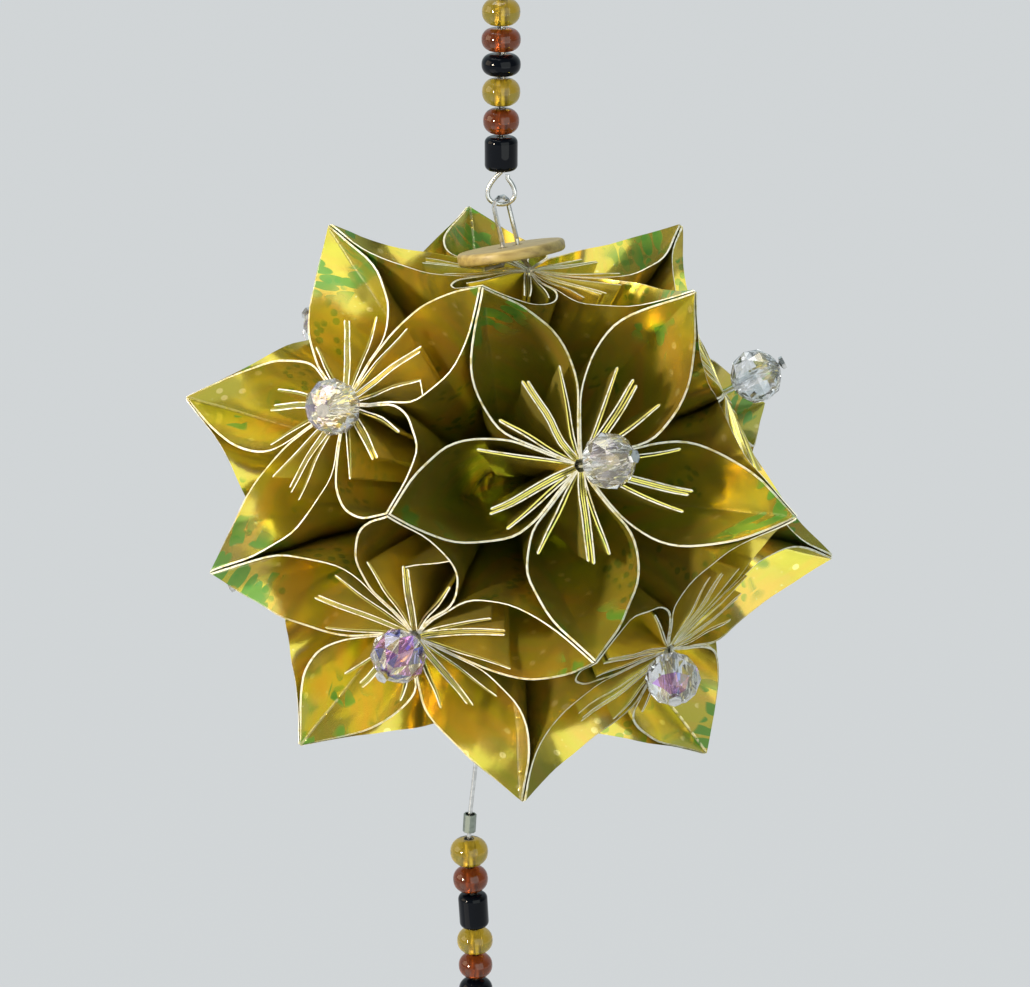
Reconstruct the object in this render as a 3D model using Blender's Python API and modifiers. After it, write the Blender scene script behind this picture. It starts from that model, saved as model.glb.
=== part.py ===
"""A kusudama: a hanging ball of sixty folded foil-paper petals, glued in twelve flowers of five.

Each petal is one square sheet, folded and rolled into a leaf-shaped cone. Its point lies at the ball's
centre, its seam lies along its flower's axis, and its far corner is one of the ball's points, where three
flowers meet. Ten flowers carry a faceted bead on a pin. The top flower takes the wire that the ball hangs
by, through a button, and the bottom flower lets it out again. A beaded wire holds the ball up, and another
hangs below it.

Metres, +Z up. The origin is where a hook bears in the hanging loop. The photographed side faces -Y.
"""

import math
from itertools import pairwise

import bmesh
import bpy
from mathutils import Matrix, Vector
from mathutils.geometry import intersect_line_line_2d

# Paper: one sheet for each petal
SHEET_SIDE = 0.050
PETALS_PER_FLOWER = 5
WALL = 0.00034  # the two layers of a petal's wall, with their glue
MIDDLE_FIN = 0.00080  # four layers, where the petal's two side flaps are glued together
SIDE_PLEAT = 0.00046  # two layers, folded back inside the petal on each side of the middle fin
PLEAT_TURN = math.radians(21)  # how far a side pleat stands open from the middle fin
PACKED_END = 0.006  # the petals' points stop here, short of the ball's centre, where the wire passes
PACKED_THICKNESS_SHARE = 0.5  # the paper is pressed this thin there
FLOWER_GAP = 0.0003
GLUED_SHARE = 0.435  # of the cell's radius: how far out two petals of a flower are glued together
WALL_STEPS = 4  # flats in the curl of each wall
HOLE_SIDES = 6

# Ball: how the finished flowers sit
TOWARDS_FRONT = math.radians(-71.8)  # the front flower's heading, from +X round to +Y
SQUASH_SHARE = 0.94  # the wire pulls the top and bottom flowers this much nearer
LEAN = math.radians(6.1)  # the wire enters off the middle, so the ball's top leans towards +X
PULL_REACH = math.radians(44)  # a handling dent fades out this far round the ball

# Crystals and their pins
CRYSTAL_WIDTH = 0.0058
CRYSTAL_LENGTH = 0.0052
CRYSTAL_SIDES = 8
CRYSTAL_TABLE_SHARE = 0.53  # of the width: the flat round each end of the bore
CRYSTAL_GIRDLE_SHARE = 0.24  # of the length: the band round the middle
PIN_WIRE = 0.0005
PIN_HEAD = 0.0014
PIN_HEAD_THICKNESS = 0.0004
PIN_IN_PAPER = 0.014
FIT = 0.0003  # clearance of a wire or pin in what it passes through

# Button on the top flower
BUTTON_WIDTH = 0.0112
BUTTON_THICKNESS = 0.0012
BUTTON_EDGE = 0.0004
BUTTON_TILT = math.radians(-9)
BUTTON_LEAN_BACK = math.radians(-9)  # its front edge stands up, so that it is seen nearly edge on
BUTTON_SHIFT = 0.0021  # its middle lies this far beside the flower's axis, towards -X
BUTTON_LIFT = 0.0021  # of its middle above the flower, because it is tilted
BUTTON_SIDES = 20
BUTTON_HOLE_SIDES = 8
DRILL_LENGTH = 3 * BUTTON_THICKNESS

# Wires and beads
WIRE = 0.0005
WIRE_SIDES_RESOLUTION = 2
LINK_HALF_WIDTH = 0.0010
LINK_TURN = math.radians(42)  # the link stands this far round from the ball's front
LINK_TAIL = 0.0030
LINK_REACH_SHARES = (1.02, 0.9)  # of the seam: where the wire straightens into the top flower's axis
EYE_HALF_WIDTH = 0.0014
EYE_HEIGHT = 0.0034
EYE_OPENING = math.radians(54)  # of a turn round the drop: where its free side straightens up to the beads
DROP_WIDEST = 4 / math.sqrt(27)  # of sin(turn) * sin(turn / 2), which draws a drop
HANGING_LOOP_RADIUS = 0.0017
LOOP_TURNS = (math.radians(240), math.radians(-50))
LOOP_STEPS = 10
BORE = 0.0011
BEAD_GAP = 0.0003
BEAD_ROUNDING_SHARE = 0.34
LONG_BEAD_ROUNDING = 0.0004
BEAD_SIDES = 8
MERGE_DISTANCE = 0.00001
CRIMP_WIDTH = 0.0014
CRIMP_LENGTH = 0.0020
CRIMP_WALL = 0.00015

# Heights along the wires, from the ball's centre
LINK_TOP = 0.0312
UPPER_BEADS_START = 0.0338
LOWER_CRIMP_START = 0.0368
LOWER_BEADS_START = 0.0395
STRING_SHIFT = -0.00044  # the upper wire hangs this far beside the ball's centre

# Each bead in order away from the ball: colour, width, and the length that it takes on its wire
UPPER_BEADS = (
    ("black_long", 0.0034, 0.0038),
    ("amber", 0.0037, 0.0029),
    ("yellow", 0.0039, 0.0031),
    ("black", 0.0040, 0.0025),
    ("amber", 0.0040, 0.0026),
    ("yellow", 0.0039, 0.0030),
)
LOWER_BEADS = (
    ("yellow", 0.0041, 0.0033),
    ("amber", 0.0038, 0.0031),
    ("black_long", 0.0032, 0.0042),
    ("yellow", 0.0039, 0.0030),
    ("amber", 0.0037, 0.0029),
    ("black", 0.0037, 0.0029),
)

# Where the lower wire runs, as places beside and below the ball's centre
LOWER_ROUTE = (
    (-0.00232, -0.0210),
    (-0.00258, -0.0240),
    (-0.00292, -0.0280),
    (-0.00334, -0.0323),
    (-0.00380, -0.0366),
    (-0.00394, -0.0402),
    (-0.00382, -0.0440),
    (-0.00348, -0.0480),
    (-0.00333, -0.0518),
    (-0.00326, -0.0560),
    (-0.00326, -0.0615),
)

# How the photographed ball's points and flower middles stray from a true ball, in its own frame
PULLS = (
    (("front", "left", "top"), (0.0014, 0, 0)),
    (("front", "right", "top"), (-0.0011, 0, -0.0003)),
    (("front", "right", "lower_right"), (0.0003, 0, 0)),
    (("front", "left", "lower_front"), (-0.0013, 0, 0)),
    (("front", "lower_right", "lower_front"), (-0.0013, 0, -0.0002)),
    (("left", "lower_left", "lower_front"), (-0.0009, 0, 0.0005)),
    (("left", "back_left", "top"), (0.0004, 0, -0.0003)),
    (("left", "back_left", "lower_left"), (0.0006, 0, 0)),
    (("lower_front", "lower_left", "bottom"), (-0.0012, 0, 0.0003)),
    (("lower_front", "lower_right", "bottom"), (-0.0020, 0, -0.0003)),
    (("lower_right", "lower_back_right", "bottom"), (0.0031, 0, -0.0009)),
    (("right", "lower_right", "lower_back_right"), (0.0004, 0, 0.0022)),
    (("right", "back_right", "top"), (-0.0014, 0, 0.0006)),
    (("back_right", "back_left", "top"), (0, 0, -0.0014)),
    (("front",), (-0.0007, 0, -0.0013)),
    (("left",), (0.0009, 0, 0.0010)),
    (("right",), (-0.0012, 0, 0.0029)),
    (("lower_front",), (-0.0014, 0, 0.0010)),
    (("lower_right",), (0, 0, -0.0013)),
)

# Where each crystal's middle lies past its flower's middle: sideways, upwards, and out along the axis
CRYSTAL_PLACES = {
    "front": (0.0019, 0.0002, 0.0031),
    "left": (0.0024, -0.0010, 0.0031),
    "lower_front": (-0.0005, -0.0003, 0.0031),
    "lower_right": (-0.0030, -0.0004, 0.0031),
    "right": (0.0002, 0.0002, 0.0038),
}
CRYSTAL_PLACE_UNSEEN = (0, -0.0004, 0.0031)

CELL_FACE_ANGLE = math.atan((math.sqrt(5) - 1) / 2)  # from a flower's axis to the middle of its edge
FLOWER_TILT = math.atan(1 / 2)  # the upper and lower rings stand this far off the level
PETAL_TURN = 2 * math.pi / PETALS_PER_FLOWER
HALF_PETAL_TURN = PETAL_TURN / 2
SEAM_LENGTH = SHEET_SIDE / 2
TIP_PAPER_ANGLE = math.radians(45)  # of flat paper, from the seam to the petal's corner
FIN_PAPER_ANGLE = TIP_PAPER_ANGLE / 2
HOLE_RADIUS = (PIN_WIRE / 2 + FIT) / math.cos(math.pi / HOLE_SIDES)
LOOP_TOP = UPPER_BEADS_START + sum(length for _, _, length in UPPER_BEADS) + CRIMP_LENGTH + BEAD_GAP
HANG_HEIGHT = LOOP_TOP + 2 * HANGING_LOOP_RADIUS  # of the loop's inner top above the ball's centre


def clear_scene():
    for obj in list(bpy.data.objects):
        bpy.data.objects.remove(obj)


def material(name, colour, roughness, metallic=0.0, transmission=0.0):
    made = bpy.data.materials.new(name)
    made.use_nodes = True
    shader = made.node_tree.nodes["Principled BSDF"]
    shader.inputs["Base Color"].default_value = (*colour, 1)
    shader.inputs["Roughness"].default_value = roughness
    shader.inputs["Metallic"].default_value = metallic
    shader.inputs["Transmission Weight"].default_value = transmission
    made.diffuse_color = (*colour, 1)
    return made


def flower_directions():
    """The axes of the twelve flowers, in the ball's own frame, where the wire runs along Z."""
    axes = {"top": Vector((0, 0, 1)), "bottom": Vector((0, 0, -1))}
    rings = (
        (("front", "right", "back_right", "back_left", "left"), 0, FLOWER_TILT),
        (("lower_right", "lower_back_right", "lower_back", "lower_left", "lower_front"), 1, -FLOWER_TILT),
    )
    for names, offset, tilt in rings:
        for index, name in enumerate(names):
            heading = TOWARDS_FRONT + PETAL_TURN * index + HALF_PETAL_TURN * offset
            level = math.cos(tilt)
            axes[name] = Vector((level * math.cos(heading), level * math.sin(heading), math.sin(tilt)))
    return axes


AXES = flower_directions()
NEIGHBOUR_COSINE = AXES["top"].dot(AXES["front"])


def neighbours(name):
    """The five flowers round this one, in order."""
    axis = AXES[name]
    near = [other for other in AXES if other != name and AXES[other].dot(axis) > NEIGHBOUR_COSINE / 2]
    across = axis.orthogonal()
    return sorted(near, key=lambda other: signed_turn(axis, across, AXES[other]))


def signed_turn(axis, across, direction):
    return math.atan2(direction.dot(axis.cross(across)), direction.dot(across))


def middle_of(names):
    return sum((AXES[name] for name in names), Vector()).normalized()


def handled(point):
    """A place of the true ball, moved as the wire's pull and the maker's handling moved it."""
    moved = Vector((point.x, point.y, point.z * SQUASH_SHARE))
    if point.length == 0:
        return moved
    for names, pull in PULLS:
        away = point.angle(middle_of(names))
        if away < PULL_REACH:
            fade = (1 + math.cos(math.pi * away / PULL_REACH)) / 2
            moved += Vector(pull) * fade * point.length / (SHEET_SIDE / math.sqrt(2))
    return moved


def on_ray(angle, along, beside=0):
    """A place in a flower's section: along a ray from the axis, and beside it to the left."""
    ray = Vector((math.cos(angle), math.sin(angle)))
    return ray * along + Vector((-ray.y, ray.x)) * beside


def corner_between(first, first_half, second, second_half):
    """Where the near faces of two sheets that leave the axis meet; first is the one further round."""
    reach = SHEET_SIDE
    a = on_ray(first, 0, -first_half), on_ray(first, reach, -first_half)
    b = on_ray(second, 0, second_half), on_ray(second, reach, second_half)
    return intersect_line_line_2d(*a, *b)


def curl(radius, centre):
    """The points of a petal's curled wall, from where it leaves the glued seam to its straight end."""
    headings = [HALF_PETAL_TURN - step * math.pi / 2 / WALL_STEPS for step in range(WALL_STEPS + 1)]
    return [centre + radius * Vector((-math.sin(h), math.cos(h))) for h in headings]


def half_petal(height, thickness_share):
    """One side of a petal in section, at this height up the flower's axis.

    It gives the outer face from the glued seam to the tip, and the inner one from the tip to the middle fin.
    """
    wall = WALL * thickness_share
    cell = height * math.tan(CELL_FACE_ANGLE) - FLOWER_GAP / 2 / math.cos(CELL_FACE_ANGLE)
    glued = cell * GLUED_SHARE
    radius = cell - glued
    start = on_ray(HALF_PETAL_TURN, glued)
    centre = start + radius * Vector((math.sin(HALF_PETAL_TURN), -math.cos(HALF_PETAL_TURN)))
    tip = Vector((cell / math.cos(HALF_PETAL_TURN), 0))
    outer = [*curl(radius, centre), tip]
    inner_tip = tip - Vector((wall / math.cos(HALF_PETAL_TURN), 0))
    walls = [inner_tip, *reversed(curl(radius - wall, centre))]
    fin_end = height * math.tan(FIN_PAPER_ANGLE)
    pleat = SIDE_PLEAT * thickness_share / 2
    fin = MIDDLE_FIN * thickness_share / 2
    fins = [
        corner_between(HALF_PETAL_TURN, wall, PLEAT_TURN, pleat),
        on_ray(PLEAT_TURN, fin_end, pleat),
        on_ray(PLEAT_TURN, fin_end, -pleat),
        corner_between(PLEAT_TURN, pleat, 0, fin),
        on_ray(0, fin_end, fin),
    ]
    return outer, walls, fins


def paper_angles(outer):
    """The angle of flat paper from the seam to each of these points of a wall, where the corner is 45 degrees."""
    rays = [Vector((0, 0, SEAM_LENGTH))] + [Vector((p.x, p.y, SEAM_LENGTH)) for p in outer]
    run = [0.0]
    for before, after in pairwise(rays):
        run.append(run[-1] + before.angle(after))
    return [angle * TIP_PAPER_ANGLE / run[-1] for angle in run[1:]]


def at_rim(point, paper_angle):
    """Takes a section point out along its ray to the sheet's raw edge."""
    ray = Vector((point.x, point.y, SEAM_LENGTH)).normalized()
    return ray * SEAM_LENGTH / math.cos(paper_angle)


def at_fold_top(point):
    return Vector((point.x, point.y, SEAM_LENGTH))


def across_petal(points):
    """The same points on the petal's other side."""
    return [Vector((p.x, -p.y, *p[2:])) for p in points]


def petal_loops():
    """A petal's outer and inner outlines, each as pairs of a place at its rim and one at its packed end."""
    outer, walls, fins = half_petal(SEAM_LENGTH, 1)
    low_outer, low_walls, low_fins = half_petal(PACKED_END, PACKED_THICKNESS_SHARE)
    angles = paper_angles(outer)
    rim_outer = [at_rim(p, a) for p, a in zip(outer, angles)]
    end_outer = [at_packed_end(p) for p in low_outer]
    rim_inner = [at_rim(p, a) for p, a in zip(walls, reversed(angles))] + [at_fold_top(p) for p in fins]
    end_inner = [at_packed_end(p) for p in low_walls + low_fins]
    outside = [
        across_petal(half)[:-1] + half[:0:-1]
        for half in (rim_outer, end_outer)
    ]
    inside = [half + across_petal(half)[:0:-1] for half in (rim_inner, end_inner)]
    return list(zip(*outside)), list(zip(*inside))


def at_packed_end(point):
    return Vector((point.x, point.y, PACKED_END))


def turned_pairs(pairs, turn):
    return [(turn @ rim, turn @ end) for rim, end in pairs]


def hole_loop():
    """The way down a flower's middle for its pin or for the wire."""
    turns = [2 * math.pi * side / HOLE_SIDES for side in range(HOLE_SIDES)]
    ring = [on_ray(turn, HOLE_RADIUS) for turn in turns]
    return [(at_fold_top(p), at_packed_end(p)) for p in ring]


def flower_loops():
    """All outlines of a flower's section: the outer one, one inside each petal, and the hole on its axis."""
    outside, inside = petal_loops()
    turns = [Matrix.Rotation(PETAL_TURN * k, 3, "Z") for k in range(PETALS_PER_FLOWER)]
    around = []
    for turn in turns:
        around += turned_pairs(outside, turn)
    return [around] + [turned_pairs(inside, turn) for turn in turns] + [hole_loop()]


def filled_section(bm, loops):
    """Fills the flat section between the outlines, and gives its points in the outlines' order."""
    points = []
    for loop in loops:
        corners = [bm.verts.new((rim.x / rim.z, rim.y / rim.z, 0)) for rim, _ in loop]
        for a, b in zip(corners, corners[1:] + corners[:1]):
            bm.edges.new((a, b))
        points += corners
    bmesh.ops.triangle_fill(bm, use_beauty=True, edges=bm.edges[:])
    return points


def flower_mesh(name, into_place):
    """Lofts the flower's section from its packed end to its petals' rims, in its place in the ball."""
    loops = flower_loops()
    bm = bmesh.new()
    top = filled_section(bm, loops)
    places = [pair for loop in loops for pair in loop]
    marks = {vert: index for index, vert in enumerate(top)}
    made = bmesh.ops.extrude_face_region(bm, geom=bm.faces[:], use_keep_orig=True)
    moved = [g for g in made["geom"] if isinstance(g, bmesh.types.BMVert)]
    packed = {}
    for vert in moved:
        source = next(e.other_vert(vert) for e in vert.link_edges if e.other_vert(vert) in marks)
        packed[vert] = marks[source]
    for vert, index in packed.items():
        vert.co = handled(into_place @ places[index][1])
    for vert, index in marks.items():
        vert.co = handled(into_place @ places[index][0])
    bmesh.ops.triangulate(bm, faces=bm.faces[:])
    bmesh.ops.recalc_face_normals(bm, faces=bm.faces[:])
    mesh = bpy.data.meshes.new(name)
    bm.to_mesh(mesh)
    bm.free()
    return mesh


def flower_placement(name):
    """Turns a flower built along +Z, with a petal towards +X, to its place among its neighbours."""
    axis = AXES[name]
    first, second = neighbours(name)[:2]
    petal = middle_of((name, first, second))
    across = (petal - axis * petal.dot(axis)).normalized()
    return Matrix((across, axis.cross(across), axis)).transposed()


def add_object(name, data, made_material, collection, parent=None):
    obj = bpy.data.objects.new(name, data)
    data.materials.append(made_material)
    collection.objects.link(obj)
    obj.parent = parent
    return obj


def add_flower(name, foil, collection, parent):
    mesh = flower_mesh("flower_" + name, flower_placement(name))
    return add_object("flower_" + name, mesh, foil, collection, parent)


def smooth(a, b, c, d, share):
    """A place between b and c on the smooth curve through a, b, c and d."""
    rise = (c - a) / 2
    fall = (d - b) / 2
    square = share * share
    cube = square * share
    start = (2 * cube - 3 * square + 1) * b + (cube - 2 * square + share) * rise
    return start + (3 * square - 2 * cube) * c + (cube - square) * fall


def smooth_route(points, steps):
    """Points on one smooth curve through the given ones."""
    ends = [2 * points[0] - points[1], *points, 2 * points[-1] - points[-2]]
    route = []
    for index in range(len(points) - 1):
        four = ends[index : index + 4]
        route += [smooth(*four, step / steps) for step in range(steps)]
    return [*route, points[-1]]


def tube(name, points, width, resolution, widths=None):
    """A wire along these points; widths, where given, are each point's share of the width."""
    curve = bpy.data.curves.new(name, "CURVE")
    curve.dimensions = "3D"
    curve.bevel_depth = width / 2
    curve.bevel_resolution = resolution
    curve.use_fill_caps = True
    spline = curve.splines.new("POLY")
    spline.points.add(len(points) - 1)
    for index, (target, place) in enumerate(zip(spline.points, points)):
        target.co = (*place, 1)
        target.radius = widths[index] if widths else 1
    return curve


def flower_middle(name):
    """The middle of a flower's face, where its seams end, in the ball's frame."""
    return handled(AXES[name] * SEAM_LENGTH)


def flower_axis(name):
    return (flower_middle(name) - handled(AXES[name] * PACKED_END)).normalized()


def crystal_middle(name):
    sideways, upwards, out = CRYSTAL_PLACES.get(name, CRYSTAL_PLACE_UNSEEN)
    axis = flower_axis(name)
    side = Vector((0, 0, 1)).cross(axis).normalized()
    return flower_middle(name) + side * sideways + axis.cross(side) * upwards + axis * out


def pin_route(name):
    """From inside the flower, out along its axis, then leaning over to the crystal's outer end."""
    axis = flower_axis(name)
    middle = flower_middle(name)
    bead = crystal_middle(name)
    lean = (bead - middle).normalized()
    head = bead + lean * (CRYSTAL_LENGTH / 2 + FIT)
    shaft = [middle - axis * PIN_IN_PAPER, middle, head - lean * FIT / 2]
    return shaft, [head, head + lean * PIN_HEAD_THICKNESS]


def add_pin(name, steel, collection, parent):
    shaft, head = pin_route(name)
    head_share = PIN_HEAD / PIN_WIRE
    points = [*shaft, *head]
    widths = [1] * len(shaft) + [head_share] * len(head)
    data = tube("pin_" + name, points, PIN_WIRE, 1, widths)
    return add_object("pin_" + name, data, steel, collection, parent)


def turned_mesh(name, profile, sides, made_material, collection, parent=None):
    """A closed profile turned about Z; it runs down its outer side, top to bottom, and back up its bore."""
    bm = bmesh.new()
    corners = [bm.verts.new((radius, 0, height)) for radius, height in profile]
    for a, b in zip(corners, corners[1:] + corners[:1]):
        bm.edges.new((a, b))
    mesh = bpy.data.meshes.new(name)
    bm.to_mesh(mesh)
    bm.free()
    obj = add_object(name, mesh, made_material, collection, parent)
    turn = obj.modifiers.new("turn", "SCREW")
    turn.steps = sides
    turn.render_steps = sides
    turn.use_merge_vertices = True
    turn.merge_threshold = MERGE_DISTANCE
    turn.use_smooth_shade = False
    return obj


def crystal_profile():
    half_width = CRYSTAL_WIDTH / 2
    half_length = CRYSTAL_LENGTH / 2
    bore = PIN_WIRE / 2 + FIT
    table = half_width * CRYSTAL_TABLE_SHARE
    girdle = half_length * CRYSTAL_GIRDLE_SHARE
    return (
        (bore, half_length),
        (table, half_length),
        (half_width, girdle),
        (half_width, -girdle),
        (table, -half_length),
        (bore, -half_length),
    )


def add_crystal(name, glass, collection, parent):
    middle = crystal_middle(name)
    lean = (middle - flower_middle(name)).normalized()
    crystal = turned_mesh("crystal_" + name, crystal_profile(), CRYSTAL_SIDES, glass, collection, parent)
    crystal.location = middle
    crystal.rotation_mode = "QUATERNION"
    crystal.rotation_quaternion = lean.to_track_quat("Z", "Y")
    return crystal


def bead_profile(width, length, rounding):
    """A seed bead: a bore, two flat ends and a side rounded off towards them."""
    half = length / 2
    return (
        (BORE / 2, half),
        (width / 2 - rounding, half),
        (width / 2, half - rounding),
        (width / 2, rounding - half),
        (width / 2 - rounding, -half),
        (BORE / 2, -half),
    )


def crimp_profile():
    half = CRIMP_LENGTH / 2
    bore = CRIMP_WIDTH / 2 - CRIMP_WALL
    return ((bore, half), (CRIMP_WIDTH / 2, half), (CRIMP_WIDTH / 2, -half), (bore, -half))


def place_on_route(route, drop):
    """The place and direction on a route at this height."""
    for a, b in pairwise(route):
        if min(a.z, b.z) <= drop <= max(a.z, b.z):
            share = (drop - a.z) / (b.z - a.z)
            return a.lerp(b, share), (a - b).normalized()
    raise ValueError("the beads reach past the end of their wire")


def thread(name, profile, sides, route, height, made_material, collection, parent):
    place, along = place_on_route(route, height)
    piece = turned_mesh(name, profile, sides, made_material, collection, parent)
    piece.location = place
    piece.rotation_mode = "QUATERNION"
    piece.rotation_quaternion = (along if along.z > 0 else -along).to_track_quat("Z", "Y")
    return piece


def add_beads(where, beads, route, start, way, materials, collection, parent):
    """Threads beads one after another, starting at a height and going up (+1) or down (-1)."""
    height = start
    for number, (colour, width, room) in enumerate(beads, 1):
        length = room - BEAD_GAP
        rounding = LONG_BEAD_ROUNDING if colour.endswith("_long") else length * BEAD_ROUNDING_SHARE
        profile = bead_profile(width, length, rounding)
        name = f"{where}_bead_{number}_{colour}"
        paint = materials[colour.removesuffix("_long")]
        middle = height + way * room / 2
        thread(name, profile, BEAD_SIDES, route, middle, paint, collection, parent)
        height += way * room
    return height


def add_crimp(name, route, height, metal, collection, parent):
    """A crimped ferrule that stops the beads on a wire."""
    thread(name, crimp_profile(), BEAD_SIDES, route, height, metal, collection, parent)


def lower_route():
    return smooth_route([Vector((x, 0, z)) for x, z in LOWER_ROUTE], 2)


def arc(centre, across, up, radius_across, radius_up, turns, steps=LOOP_STEPS):
    """Points round an ellipse that stands on its across and up directions, from one turn to another."""
    start, end = turns
    angles = [start + (end - start) * step / steps for step in range(steps + 1)]
    return [centre + across * radius_across * math.cos(a) + up * radius_up * math.sin(a) for a in angles]


def drop(top, across, up, half_width, height, start, steps=LOOP_STEPS):
    """Points round a drop-shaped eye, from a turn down one side, round its bottom and up to its top."""
    points = []
    for step in range(steps + 1):
        turn = start + (2 * math.pi - start) * step / steps
        spread = math.sin(turn) * math.sin(turn / 2) / DROP_WIDEST
        points.append(top + across * half_width * spread - up * height * (1 - math.cos(turn)) / 2)
    return points


def upper_route():
    """The eye that the ball's link hangs in, the straight run through the beads, and the hanging loop."""
    up = Vector((0, 0, 1))
    across = Vector((1, 0, 0))
    line = Vector((STRING_SHIFT, 0, 0))
    eye = drop(line + up * UPPER_BEADS_START, across, up, EYE_HALF_WIDTH, EYE_HEIGHT, EYE_OPENING)
    free_end = Vector((eye[0].x, eye[0].y, UPPER_BEADS_START - FIT))
    run_end = line + up * LOOP_TOP
    loop_middle = line + up * (LOOP_TOP + WIRE / 2 + HANGING_LOOP_RADIUS)
    loop = arc(loop_middle, across, up, HANGING_LOOP_RADIUS, HANGING_LOOP_RADIUS, LOOP_TURNS)
    return [free_end, *eye, run_end, *loop]


def button_frame():
    """The button's middle and its own across, along and up directions."""
    axis = flower_axis("top")
    lean = Matrix.Rotation(LEAN, 3, "Y")
    middle = lean @ (flower_middle("top") + axis * BUTTON_LIFT) - Vector((BUTTON_SHIFT, 0, 0))
    turn = Matrix.Rotation(BUTTON_TILT, 3, "Y") @ Matrix.Rotation(BUTTON_LEAN_BACK, 3, "X")
    return middle, turn


def link_route():
    """The link over the button, its two legs, a short turned-back tail, and the wire down through the ball."""
    middle, turn = button_frame()
    across = Vector((math.cos(LINK_TURN), math.sin(LINK_TURN), 0))
    up = Vector((0, 0, 1))
    top = Vector((STRING_SHIFT, 0, LINK_TOP))
    arch_middle = top - up * LINK_HALF_WIDTH
    arch = arc(arch_middle, across, up, LINK_HALF_WIDTH, LINK_HALF_WIDTH, (math.pi, 0), LOOP_STEPS // 2)
    below = BUTTON_THICKNESS / 2 + FIT + WIRE / 2
    holes = [middle + turn @ (across * LINK_HALF_WIDTH * side) for side in (-1, 1)]
    button_up = turn @ up
    tail_end = holes[0] - button_up * below - turn @ (across * LINK_TAIL)
    tail = [tail_end, holes[0] - button_up * below + turn @ (-across * WIRE)]
    first_leg = [holes[0] - button_up * BUTTON_THICKNESS / 2, holes[0] + button_up * BUTTON_THICKNESS]
    second_leg = [holes[1] + button_up * BUTTON_THICKNESS, holes[1] - button_up * BUTTON_THICKNESS / 2]
    lean = Matrix.Rotation(LEAN, 3, "Y")
    down = [lean @ handled(AXES["top"] * (SEAM_LENGTH * depth)) for depth in LINK_REACH_SHARES]
    out = [Vector((LOWER_ROUTE[0][0], 0, LOWER_ROUTE[0][1] + FIT))]
    return [*tail, *first_leg, *arch, *second_leg, *down, *out]


def add_button(wood, collection, parent):
    """A turned disc with rounded edges and two holes for the link's legs."""
    middle, turn = button_frame()
    bpy.ops.mesh.primitive_cylinder_add(vertices=BUTTON_SIDES, radius=BUTTON_WIDTH / 2, depth=BUTTON_THICKNESS)
    button = bpy.context.object
    button.name = "button"
    button.data.materials.append(wood)
    for holder in list(button.users_collection):
        holder.objects.unlink(button)
    collection.objects.link(button)
    edge = button.modifiers.new("rounded edge", "BEVEL")
    edge.width = BUTTON_EDGE
    edge.segments = 1
    edge.limit_method = "ANGLE"
    button.parent = parent
    button.location = middle
    button.rotation_euler = turn.to_euler()
    return button


def drill_button(button, cutters):
    across = Vector((math.cos(LINK_TURN), math.sin(LINK_TURN), 0))
    for side in (-1, 1):
        bpy.ops.mesh.primitive_cylinder_add(vertices=BUTTON_HOLE_SIDES, radius=BORE / 2, depth=DRILL_LENGTH)
        drill = bpy.context.object
        drill.name = f"button_hole_{side}"
        drill.hide_render = True
        drill.display_type = "WIRE"
        for holder in list(drill.users_collection):
            holder.objects.unlink(drill)
        cutters.objects.link(drill)
        drill.parent = button
        drill.location = across * LINK_HALF_WIDTH * side
        cut = button.modifiers.new("hole", "BOOLEAN")
        cut.operation = "DIFFERENCE"
        cut.object = drill


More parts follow.
